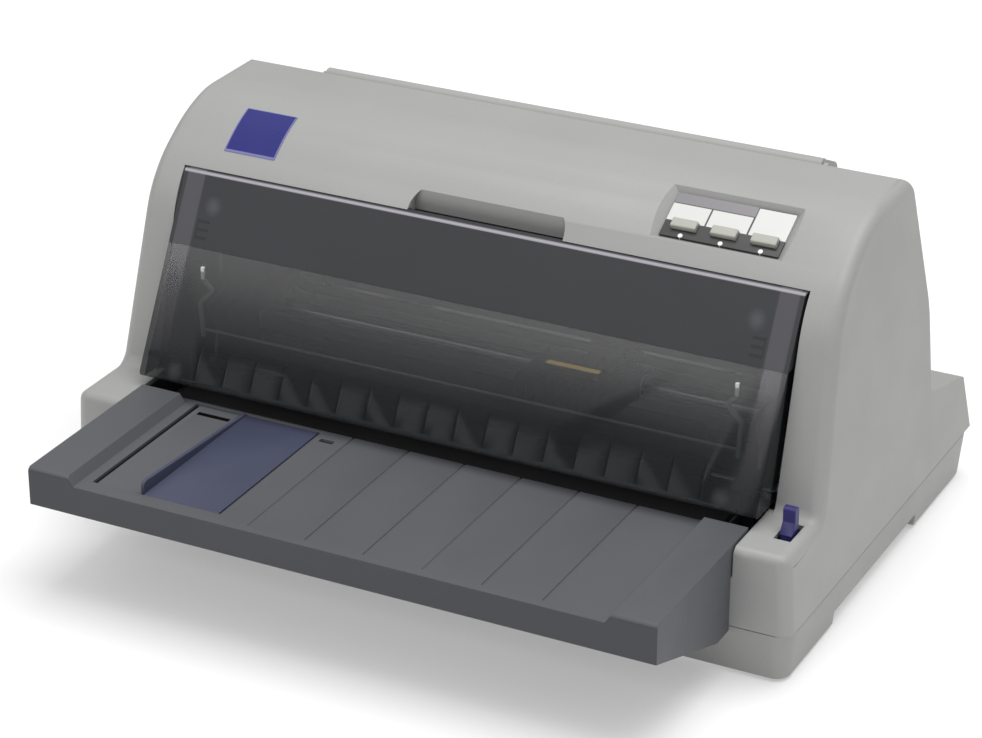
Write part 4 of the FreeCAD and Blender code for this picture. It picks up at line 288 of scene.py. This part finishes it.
# The tray's bed from left to right and from front to back, and its lower and front faces
TRAY_BED = ((-0.172, 0.172), (-0.1925, -0.0670))
BED_FLOOR, FLOOR_SOFT = 0.0743, 0.0004
TRAY_FRONT_SHADE = (-0.1963, -0.1957)


def make_tray():
    """Dark textured moulding, with painted shade in its bed's grooves and slots and on its front
    face.
    """
    look = plastic("tray_plastic", linear(90, 91, 95), 0.52, grain=1700, depth=0.00004, drift=0.04,
                   specular_ior_level=0.28)
    bed = look.patch(look.axis("X"), TRAY_BED[0], look.axis("Y"), TRAY_BED[1])
    # Painted shade: surfaces below the bed's floor, in its grooves and slots, are made much
    # darker.
    painted_groove_shade = look.times(bed, look.spread(look.axis("Z"), 1, 0, BED_FLOOR - FLOOR_SOFT, BED_FLOOR))
    # Painted shade: the front face is made darker than the top.
    face = look.spread(look.axis("Y"), 1, 0, *TRAY_FRONT_SHADE)
    surface = look.blend(face, look.surface(), linear(72, 73, 77))
    look.tint(look.blend(painted_groove_shade, surface, linear(16, 16, 18)))
    return look


# Printed areas are given from left to right and from foot to head, along the sloping panel
PANEL_LEFT, PANEL_FOOT, PANEL_SLOPE = 0.1005, (0.00045, 0.20934), math.radians(29)
HEADER = ((0.0030, 0.0536), (0.0281, 0.0360))
PRINTED_BOXES = (
    ((0.0038, 0.0273), (0.0151, 0.0275)),
    ((0.0283, 0.0531), (0.0151, 0.0275)),
    ((0.0542, 0.0769), (0.0151, 0.0347)),
)


def make_panel_film():
    """Dark printed sheet: a grey header, three bare white boxes and a black strip below them."""
    look = Look("panel_film", linear(36, 36, 38), 0.32, coat_weight=0.3, coat_roughness=0.15)
    across = look.minus(look.axis("X"), PANEL_LEFT)
    back = look.times(look.minus(look.axis("Y"), PANEL_FOOT[0]), math.cos(PANEL_SLOPE))
    up = look.times(look.minus(look.axis("Z"), PANEL_FOOT[1]), math.sin(PANEL_SLOPE))
    rise = look.math("ADD", back, up)
    surface = mottled(look, 0.05, 25)
    header = look.patch(across, HEADER[0], rise, HEADER[1])
    surface = look.blend(header, surface, linear(128, 126, 130))
    for sides, ends in PRINTED_BOXES:
        box = look.patch(across, sides, rise, ends)
        surface = look.blend(box, surface, linear(212, 212, 210))
    look.tint(surface)
    look.gloss(look.spread(look.noise(90, 3), 0.3, 0.42))
    look.relief(look.noise(1900, 2), FINE_GRAIN, 0.4)
    return look


def make_lens():
    """Milky translucent moulding with a cloudy core."""
    look = Look("lens_plastic", linear(226, 228, 224), 0.22, subsurface_weight=0.3)
    look.put("Subsurface Radius", (0.002, 0.003, 0.002))
    look.tint(look.blend(look.noise(420, 2), look.colour, scaled(look.colour, 1.25)))
    look.relief(look.noise(900, 1), FINE_GRAIN, 0.3)
    return look


THREAD_SCALE, TRACK_SCALE, PAD_SCALE = 700, 55, 240


def make_ribbon_cloth():
    """Inked woven tape."""
    look = Look("ribbon_cloth", linear(16, 16, 20), 0.8, sheen_weight=0.25)
    threads = [look.texture("TexWave", THREAD_SCALE, wave_type="BANDS", bands_direction=way)
               for way in ("X", "Y")]
    cross = look.times(*[thread.outputs["Fac"] for thread in threads])
    look.tint(look.blend(cross, look.colour, scaled(look.colour, 2.2)))
    look.relief(cross, 0.00008, 0.6)
    return look


def make_board():
    """Green solder resist over copper tracks."""
    look = Look("board_green", linear(28, 84, 50), 0.35, coat_weight=0.4, coat_roughness=0.2)
    tracks = look.texture("TexBrick", TRACK_SCALE, offset=0.37, squash=0.6)
    tracks.inputs["Mortar Size"].default_value = 0.012
    share = look.spread(tracks.outputs["Fac"], 0, 0.8, 0, 1)
    pads = look.texture("TexVoronoi", PAD_SCALE)
    dots = look.spread(pads.outputs["Distance"], 1, 0, 0.1, 0.14)
    base = look.blend(share, look.colour, linear(64, 132, 78))
    look.tint(look.blend(dots, base, linear(190, 186, 160)))
    look.relief(look.math("ADD", share, dots), 0.00006, 0.5)
    return look


# Marks on the cover, by distance from its middle and by height
WINDOW_TOP, BAND_SOFT = 0.1592, 0.0003
COVER_END, END_SOFT, END_FADE = (0.1865, 0.1985), 0.0006, (0.1, 0.15)
COVER_EDGE_HIGHLIGHT = (0.1978, 0.1992)
BOSSES, BOSS_RADII = ((0.1765, 0.1820), (0.178, 0.0930)), (0.0015, 0.0062)
COMB_SOFT = 0.0004
COMB = (
    ((0.1838, 0.1848), (0.1632, 0.1745)),
    ((0.1765, 0.1840), (0.1724, 0.1740)),
    ((0.1765, 0.1840), (0.1680, 0.1696)),
    ((0.1765, 0.1840), (0.1636, 0.1652)),
)
CLEAR_ALPHA, BAND_ALPHA, END_ALPHA = 0.56, 0.97, 0.7
END_SHARE, BOSS_SHARE, COMB_SHARE = 0.8, 0.5, 0.7


def make_smoked():
    """Smoked sheet: glossy and clear below, matt and darker in a band across its top."""
    look = Look("smoked_cover", linear(20, 21, 24), 0.14, specular_ior_level=0.5)
    height = look.axis("Z")
    side = look.math("ABSOLUTE", look.axis("X"))
    band = look.within(height, WINDOW_TOP, 1, BAND_SOFT)
    drift = look.spread(look.noise(14, 3), 0, 1)
    clear = look.blend(drift, linear(13, 18, 22), linear(18, 22, 27))
    grained = look.blend(drift, linear(46, 47, 51), linear(50, 51, 55))
    end = look.times(look.within(side, *COVER_END, END_SOFT), look.spread(height, 0, 1, *END_FADE))
    surface = look.blend(band, clear, grained)
    surface = look.blend(look.times(end, END_SHARE), surface, linear(84, 82, 87))
    for place in BOSSES:
        spot = look.near(side, height, place, *BOSS_RADII)
        surface = look.blend(look.times(spot, BOSS_SHARE), surface, linear(92, 92, 97))
    for across, upward in COMB:
        mark = look.patch(side, across, height, upward, COMB_SOFT)
        surface = look.blend(look.times(mark, COMB_SHARE), surface, linear(26, 27, 30))
    # Painted highlight: a pale line along the sheet's rounded top edge.
    edge = look.within(height, *COVER_EDGE_HIGHLIGHT, BAND_SOFT)
    look.tint(look.blend(edge, surface, linear(176, 172, 180)))
    look.gloss(look.spread(band, 0.14, 0.55, 0, 1))
    solid = look.math("MAXIMUM", look.times(end, END_ALPHA),
                      look.spread(band, CLEAR_ALPHA, BAND_ALPHA, 0, 1))
    look.join(solid, look.shader.inputs["Alpha"])
    look.relief(look.times(look.noise(1500, 2), band), 0.00004, 0.5)
    return look


LOOKS["tray_plastic"] = make_tray()
LOOKS["panel_film"] = make_panel_film()
LOOKS["lens_plastic"] = make_lens()
LOOKS["ribbon_cloth"] = make_ribbon_cloth()
LOOKS["board_green"] = make_board()
LOOKS["smoked_cover"] = make_smoked()

SLOT_OF = {entry["node"]: entry["material_slot"] for entry in frame["record"]["subparts"]}


def paint(item, look):
    item.data.materials.clear()
    item.data.materials.append(look.material)


for name, item in nodes.items():
    paint(item, LOOKS[SLOT_OF[name]])


# Objects

WELD, FLAT_ANGLE = 2e-6, math.radians(0.4)
NODE_ANGLE, PIECE_ANGLE = math.radians(28), math.radians(32)
UP, DOWN, REARWARD = (0, 0, 1), (0, 0, -1), (0, 1, 0)


def add_object(name, form):
    """An object in the scene from a bmesh, which is used up."""
    mesh = bpy.data.meshes.new(name)
    form.to_mesh(mesh)
    form.free()
    item = bpy.data.objects.new(name, mesh)
    bpy.context.scene.collection.objects.link(item)
    return item


def shade_smooth(item, angle):
    """Smooth faces, which meet in a sharp edge above an angle."""
    for face in item.data.polygons:
        face.use_smooth = True
    item.data.set_sharp_from_angle(angle=angle)


def round_edges(item, width, angle):
    soften = item.modifiers.new("soft_edges", "BEVEL")
    soften.width = width
    soften.segments = 2
    soften.limit_method = "ANGLE"
    soften.angle_limit = angle
    soften.harden_normals = True


# Pieces that stand for CAD nodes, with softened edges

def dress(name, width, look=None):
    """A copy of a node whose flat faces are whole again and whose edges are rounded."""
    source = nodes[name]
    form = bmesh.new()
    form.from_mesh(source.data)
    bmesh.ops.remove_doubles(form, verts=form.verts, dist=WELD)
    bmesh.ops.dissolve_limit(form, angle_limit=FLAT_ANGLE, verts=form.verts, edges=form.edges)
    piece = add_object(name + "_finish", form)
    shade_smooth(piece, NODE_ANGLE)
    round_edges(piece, width, NODE_ANGLE)
    paint(piece, look or LOOKS[SLOT_OF[name]])
    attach(piece, source["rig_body"])
    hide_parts(name)


# Widths of the rounded edges, in metres
SOFT_EDGES = {
    "upper_case": 0.0006, "lower_case": 0.0006, "front_tray": 0.0005, "front_cover": 0.0004,
    "rear_cover": 0.0006, "edge_guide": 0.0005, "release_lever": 0.0008,
    "panel_button_1": 0.0005, "panel_button_2": 0.0005, "panel_button_3": 0.0005,
    "panel_plate": 0.0002,
}
CLAMP_EDGE = 0.0004
for name, width in SOFT_EDGES.items():
    dress(name, width)
dress("head_clamp", CLAMP_EDGE, make_clamp())


# Pieces that are too fine for the solids

ROOT = nodes["base_plate"]["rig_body"]
MILLIMETRES = 1000
# Widths of the rounded edges, in metres
FINE_EDGE, SMALL_EDGE, SOCKET_EDGE, CAPACITOR_EDGE = 0.0002, 0.0003, 0.0004, 0.0005


def in_metres(values):
    return [value / MILLIMETRES for value in values]


def piece_of(name, form, slot_name, body=ROOT, look=None, soft=0.0):
    """An object from a bmesh in the row frame, riding on a body."""
    piece = add_object(name, form)
    shade_smooth(piece, PIECE_ANGLE)
    paint(piece, look or LOOKS[slot_name])
    if soft:
        round_edges(piece, soft, PIECE_ANGLE)
    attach(piece, body)


def frame_along(place, axis):
    """A placement whose local Z points along an axis."""
    turn = Vector(axis).to_track_quat("Z", "Y").to_matrix().to_4x4()
    return Matrix.Translation(Vector(place)) @ turn


def add_block(form, low, high):
    """A block between two corners."""
    middle = (Vector(low) + Vector(high)) / 2
    size = Vector(high) - Vector(low)
    matrix = Matrix.Translation(middle) @ Matrix.Diagonal((*size, 1))
    bmesh.ops.create_cube(form, size=1, matrix=matrix)


def add_rod(form, start, axis, length, radius, sides):
    """A round bar from a start point along an axis."""
    middle = Vector(start) + Vector(axis).normalized() * length / 2
    bmesh.ops.create_cone(form, cap_ends=True, segments=sides, radius1=radius, radius2=radius,
                          depth=length, matrix=frame_along(middle, axis))


def join_rings(form, first, second):
    """Faces between two rings of as many vertices."""
    for k in range(len(first)):
        following = (k + 1) % len(first)
        form.faces.new((first[k], first[following], second[following], second[k]))


# Shares of a screw's radius and height: the arms of its cross, the rings of its head as reach
# and level, and the floor of its recess likewise
ARM_SHARE, ARM_HALF_SHARE = 0.55, 0.13
HEAD_SHARES = ((1, 0), (1, 0.45), (0.86, 0.85))
RECESS_SHARES = (0.8, 0.2)


def add_screw(form, place, axis, radius, height):
    """A pan head screw with a cross recess, standing on a surface."""
    arm, half = radius * ARM_SHARE, radius * ARM_HALF_SHARE
    corner = [(arm, -half), (arm, half), (half, half)]
    turns = ((1, 0), (0, 1), (-1, 0), (0, -1))
    cross = [(x * c - y * s, x * s + y * c) for c, s in turns for x, y in corner]
    angles = [math.atan2(y, x) for x, y in cross]
    rings = []
    for share, level in HEAD_SHARES:
        reach = radius * share
        rings.append([(reach * math.cos(a), reach * math.sin(a), height * level) for a in angles])
    floor_share, floor_level = RECESS_SHARES
    rings.append([(x, y, height) for x, y in cross])
    rings.append([(x * floor_share, y * floor_share, height * floor_level) for x, y in cross])
    matrix = frame_along(place, axis)
    loops = [[form.verts.new(matrix @ Vector(point)) for point in ring] for ring in rings]
    for first, second in zip(loops, loops[1:]):
        join_rings(form, first, second)
    form.faces.new(list(reversed(loops[0])))
    form.faces.new(loops[-1])


def blocks(name, pairs, slot_name, look=None, soft=0.0):
    """One piece made of blocks between pairs of corners, in millimetres."""
    form = bmesh.new()
    for low, high in pairs:
        add_block(form, in_metres(low), in_metres(high))
    piece_of(name, form, slot_name, look=look, soft=soft)


def screws(name, places, axis, radius, height):
    """One piece made of steel screws that stand on a surface, in millimetres."""
    form = bmesh.new()
    for place in places:
        add_screw(form, in_metres(place), axis, *in_metres((radius, height)))
    piece_of(name, form, "shaft_steel")


# Badge that lies on the curved brow, in metres

BADGE_LEFT, BADGE_RIGHT, BADGE_FRONT, BADGE_REAR = -0.181, -0.1462, 0.0008, 0.0296
BADGE_THICK, BADGE_SKIRT_SHARE, BADGE_STEPS = 0.0006, 1.5, 18
BADGE_EDGE_X, BADGE_EDGE_Y = 0.0007, 0.0006
ABOVE_CASE = 0.4


def make_badge_look():
    """Navy printed foil with a thin paler edge."""
    look = Look("badge_foil", linear(30, 32, 116), 0.35, coat_weight=0.2, coat_roughness=0.15)
    inner = look.patch(look.axis("X"), (BADGE_LEFT + BADGE_EDGE_X, BADGE_RIGHT - BADGE_EDGE_X),
                       look.axis("Y"), (BADGE_FRONT + BADGE_EDGE_Y, BADGE_REAR - BADGE_EDGE_Y))
    look.tint(look.blend(inner, linear(120, 120, 172), mottled(look, 0.04, 40)))
    look.gloss(look.spread(look.noise(60, 3), 0.24, 0.36))
    look.relief(look.noise(1700, 2), FINE_GRAIN, 0.3)
    return look


def make_badge():
    """Foil draped over the case, with a skirt down to it all round."""
    shell = bmesh.new()
    shell.from_mesh(nodes["upper_case"].data)
    case = BVHTree.FromBMesh(shell)
    shell.free()
    form = bmesh.new()
    grid = []
    for row in range(BADGE_STEPS + 1):
        y = BADGE_FRONT + (BADGE_REAR - BADGE_FRONT) * row / BADGE_STEPS
        line = []
        for column in range(BADGE_STEPS + 1):
            x = BADGE_LEFT + (BADGE_RIGHT - BADGE_LEFT) * column / BADGE_STEPS
            place, normal, _, _ = case.ray_cast(Vector((x, y, ABOVE_CASE)), Vector(DOWN))
            line.append(form.verts.new(place + normal * BADGE_THICK))
        grid.append(line)
    for first, second in zip(grid, grid[1:]):
        for k in range(BADGE_STEPS):
            form.faces.new((first[k], first[k + 1], second[k + 1], second[k]))
    left, right = [[line[end] for line in grid[1:-1]] for end in (0, -1)]
    rim = grid[0] + right + grid[-1][::-1] + left[::-1]
    drop = BADGE_THICK * BADGE_SKIRT_SHARE
    foot = [form.verts.new((vert.co.x, vert.co.y, vert.co.z - drop)) for vert in rim]
    join_rings(form, foot, rim)
    piece_of("badge", form, "lever_plastic", look=make_badge_look())


make_badge()


# Fasteners, contacts and marks, in millimetres

SCREW_RADIUS, SCREW_HEIGHT, BASE_FACE = 3.3, 1.9, 4.0
CASE_SCREW_X, CASE_SCREW_Y = (-215, 215), (-78.8, 177.5)
screws("case_screws", [(x, y, BASE_FACE) for x in CASE_SCREW_X for y in CASE_SCREW_Y], DOWN,
       SCREW_RADIUS, SCREW_HEIGHT)

INLET_X, PARALLEL_X, USB_X, SOCKET_Z = -176, 80, 140, 49.5
SOCKET_FLOOR, CONTACT_TIP, PLATE_FACE = 167, 176, 165
TONGUE_DEPTH = (SOCKET_FLOOR, CONTACT_TIP)
CONTACT_SETBACK = 0.8
CONTACT_DEPTH = (SOCKET_FLOOR, CONTACT_TIP - CONTACT_SETBACK)
BOTH = (-1, 1)


def bar_at(x, z, half_width, half_height, depth):
    """Two corners of a bar that runs from front to back."""
    return (x - half_width, depth[0], z - half_height), (x + half_width, depth[1], z + half_height)


MAINS_PINS, PIN_HALF = ((-7, -2), (0, 3), (7, -2)), (1, 2)
blocks("mains_pins",
       [bar_at(INLET_X + x, SOCKET_Z + z, *PIN_HALF, TONGUE_DEPTH) for x, z in MAINS_PINS],
       "shaft_steel", soft=SMALL_EDGE)

PARALLEL_HALF, PARALLEL_PITCH, PARALLEL_COUNT = (22, 1.9), 2.16, 18
PARALLEL_CONTACT_HALF = (0.45, 0.15)
CLIP_REACH, CLIP_HALF, CLIP_DEPTH = 27.2, (0.8, 3.5), (178.5, 183.0)
blocks("parallel_tongue", [bar_at(PARALLEL_X, SOCKET_Z, *PARALLEL_HALF, TONGUE_DEPTH)],
       "black_plastic", soft=SMALL_EDGE)
contact_places = [PARALLEL_X + (k - (PARALLEL_COUNT - 1) / 2) * PARALLEL_PITCH
                  for k in range(PARALLEL_COUNT)]
blocks("parallel_contacts",
       [bar_at(x, SOCKET_Z + side * PARALLEL_HALF[1], *PARALLEL_CONTACT_HALF, CONTACT_DEPTH)
        for x in contact_places for side in BOTH], "gold_clip")
blocks("parallel_clips",
       [bar_at(PARALLEL_X + side * CLIP_REACH, SOCKET_Z, *CLIP_HALF, CLIP_DEPTH) for side in BOTH],
       "shaft_steel", soft=FINE_EDGE)

USB_HALF, USB_CONTACTS, USB_CONTACT_HALF = (2.8, 1.6), (-1.3, 1.3), (0.5, 0.12)
blocks("usb_tongue", [bar_at(USB_X, SOCKET_Z, *USB_HALF, TONGUE_DEPTH)],
       "button_plastic", soft=FINE_EDGE)
blocks("usb_contacts",
       [bar_at(USB_X + x, SOCKET_Z + side * USB_HALF[1], *USB_CONTACT_HALF, CONTACT_DEPTH)
        for x in USB_CONTACTS for side in BOTH], "gold_clip")

PARALLEL_SCREW_REACH, USB_SCREW_REACH = 35, 10
SOCKET_SCREWS = (PARALLEL_X - PARALLEL_SCREW_REACH, PARALLEL_X + PARALLEL_SCREW_REACH,
                 USB_X + USB_SCREW_REACH)
SOCKET_SCREW_RADIUS, SOCKET_SCREW_HEIGHT = 2.2, 1.3
screws("socket_screws", [(x, PLATE_FACE, SOCKET_Z) for x in SOCKET_SCREWS], REARWARD,
       SOCKET_SCREW_RADIUS, SOCKET_SCREW_HEIGHT)

SWITCH_BAR = ((-140.3, 175, 51.5), (-139.7, 176, 54.5))
SWITCH_RING, RING_RADII = (-140, 175.5, 46), (1.4, 1)
RING_DEPTH, RING_SIDES = 1, 20


def make_switch_marks():
    """A raised bar and ring on the two ends of the mains rocker."""
    form = bmesh.new()
    add_block(form, *map(in_metres, SWITCH_BAR))
    middle = in_metres(SWITCH_RING)
    rims = {}
    for radius in in_metres(RING_RADII):
        tube = bmesh.ops.create_cone(form, cap_ends=False, segments=RING_SIDES, radius1=radius,
                                     radius2=radius, depth=RING_DEPTH / MILLIMETRES,
                                     matrix=frame_along(middle, REARWARD))
        for vert in tube["verts"]:
            rims.update((edge, True) for edge in vert.link_edges if edge.is_boundary)
    raised = [edge for edge in rims if sum(vert.co.y for vert in edge.verts) / 2 > middle[1]]
    bmesh.ops.bridge_loops(form, edges=raised)
    piece_of("switch_marks", form, "button_plastic", nodes["power_switch"]["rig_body"])


make_switch_marks()


# Parts seen dimly through the cover, in millimetres

FLANGE_LINE = ((174, 150), (174, 142), (168, 136), (177, 126), (175.5, 104))
FLANGE_FACES, FLANGE_WIDTH = (-40.5, -38.5), 2.2
GUIDE_LIP = ((-176, -40, 108.2), (176, -38.4, 109.3))
BOARD_TOP = 23.6
CAPACITORS = ((-44, 112), (-30, 112), (-16, 112), (-44, 128), (140, 10), (140, 24))
CAPACITOR_HEIGHT, CAPACITOR_RADIUS, CAPACITOR_SIDES = 12, 5, 24
BOARD_SOCKETS = (((30, 120), (70, 126), 8), ((84, 120), (112, 126), 8), ((0, -50), (36, -45), 7))


def strip_along(form, points, y_pair, width):
    """A bent strip that follows points across and up, with a front and a rear."""
    for (x0, z0), (x1, z1) in zip(points, points[1:]):
        start, end = Vector((x0, 0, z0)), Vector((x1, 0, z1))
        run = Vector((x1 - x0, 0, z1 - z0))
        across = Vector((run.z, 0, -run.x)).normalized() * width / 2
        corners = [start - across, start + across, end + across, end - across]
        front, rear = [[form.verts.new((c.x, y, c.z)) for c in corners] for y in y_pair]
        form.faces.new(front)
        form.faces.new(list(reversed(rear)))
        join_rings(form, rear, front)


def make_frame_flanges():
    """Bent front flanges of the two side frames, in bright dull zinc."""
    form = bmesh.new()
    for side in BOTH:
        points = [in_metres((side * x, z)) for x, z in FLANGE_LINE]
        strip_along(form, points, in_metres(FLANGE_FACES), FLANGE_WIDTH / MILLIMETRES)
    piece_of("frame_flanges", form, "frame_steel", look=ZINC)


def make_capacitors():
    """Sleeved round capacitors that stand on the main board."""
    form = bmesh.new()
    length, radius = in_metres((CAPACITOR_HEIGHT, CAPACITOR_RADIUS))
    for place in CAPACITORS:
        add_rod(form, in_metres((*place, BOARD_TOP)), UP, length, radius, CAPACITOR_SIDES)
    piece_of("capacitors", form, "black_plastic", soft=CAPACITOR_EDGE)


make_frame_flanges()
blocks("guide_lip", [GUIDE_LIP], "frame_steel", look=ZINC, soft=FINE_EDGE)
make_capacitors()
blocks("board_sockets",
       [((*low, BOARD_TOP), (*high, BOARD_TOP + rise)) for low, high, rise in BOARD_SOCKETS],
       "button_plastic", soft=SOCKET_EDGE)


# Floor, light and camera

WHITE = (1.0, 1.0, 1.0, 1.0)
FLOOR_TONES, FLOOR_HALF, FLOOR_CELLS = ((0.68, 0.68, 0.68), (0.7, 0.7, 0.7)), 9, 24


def stage_floor():
    """A pale floor that gives a little light of its own."""
    form = bmesh.new()
    bmesh.ops.create_grid(form, x_segments=FLOOR_CELLS, y_segments=FLOOR_CELLS, size=FLOOR_HALF)
    floor = add_object("floor", form)
    look = Look("floor_paint", FLOOR_TONES[0], 0.8, emission_strength=0.32)
    look.put("Emission Color", WHITE)
    look.tint(look.blend(look.noise(2, 2), *FLOOR_TONES))
    paint(floor, look)


def set_world(low, high):
    """A room that is dim near the floor and bright overhead."""
    world = bpy.data.worlds.new("soft_room")
    world.use_nodes = True
    tree = world.node_tree
    back = next(n for n in tree.nodes if n.type == "BACKGROUND")
    place = tree.nodes.new("ShaderNodeTexCoord")
    split = tree.nodes.new("ShaderNodeSeparateXYZ")
    level = tree.nodes.new("ShaderNodeMapRange")
    level.inputs["To Min"].default_value = low
    level.inputs["To Max"].default_value = high
    tree.links.new(place.outputs["Generated"], split.inputs[0])
    tree.links.new(split.outputs["Z"], level.inputs["Value"])
    tree.links.new(level.outputs["Result"], back.inputs["Strength"])
    back.inputs["Color"].default_value = WHITE
    bpy.context.scene.world = world


def stand_at(item, place, facing):
    """Puts an object at a place, turned by a quaternion."""
    bpy.context.scene.collection.objects.link(item)
    item.location = place
    item.rotation_mode = "QUATERNION"
    item.rotation_quaternion = facing


def looking_at(target, place):
    return (Vector(target) - Vector(place)).to_track_quat("-Z", "Y")


def soft_light(name, place, facing, size, power):
    data = bpy.data.lights.new(name, "AREA")
    data.shape = "RECTANGLE"
    data.size, data.size_y = size
    data.energy = power
    stand_at(bpy.data.objects.new(name, data), place, facing)


def level_facing(along, rise):
    """The turn of a flat light whose lower edge runs level along one direction."""
    across = Vector(along).normalized()
    upward = (Vector(rise) - across * Vector(rise).dot(across)).normalized()
    return Matrix((across, upward, across.cross(upward))).transposed().to_quaternion()


def set_camera(place, target, lens):
    data = bpy.data.cameras.new("camera")
    data.sensor_fit = "HORIZONTAL"
    data.sensor_width = 36.0
    data.lens = lens
    data.clip_start, data.clip_end = 0.05, 60.0
    camera = bpy.data.objects.new("camera", data)
    stand_at(camera, place, looking_at(target, place))
    bpy.context.scene.camera = camera


CARD_PLACE, CARD_SIZE = (-1.2, -2.36, 1.70), (2.6, 0.46)
CARD_ALONG, CARD_RISE = (1, 0, 0), (0, 0.6, 0.72)
OVERHEAD_PLACE, OVERHEAD_TARGET, OVERHEAD_SIZE = (0.45, 0.2, 2.4), (0.05, 0, 0.1), (2.0, 2.0)
CAMERA_PLACE, CAMERA_TARGET = (0.78748, -1.53934, 0.93780), (0.0014, -0.0032, 0.1051)
CAMERA_LENS = 118.56

stage_floor()
set_world(low=0.10, high=0.74)
soft_light("window_card", CARD_PLACE, level_facing(CARD_ALONG, CARD_RISE), CARD_SIZE, power=17)
soft_light("overhead", OVERHEAD_PLACE, looking_at(OVERHEAD_TARGET, OVERHEAD_PLACE), OVERHEAD_SIZE,
           power=44)
set_camera(CAMERA_PLACE, CAMERA_TARGET, CAMERA_LENS)
bpy.context.scene.view_settings.view_transform = "Standard"
bpy.context.scene.view_settings.look = "None"
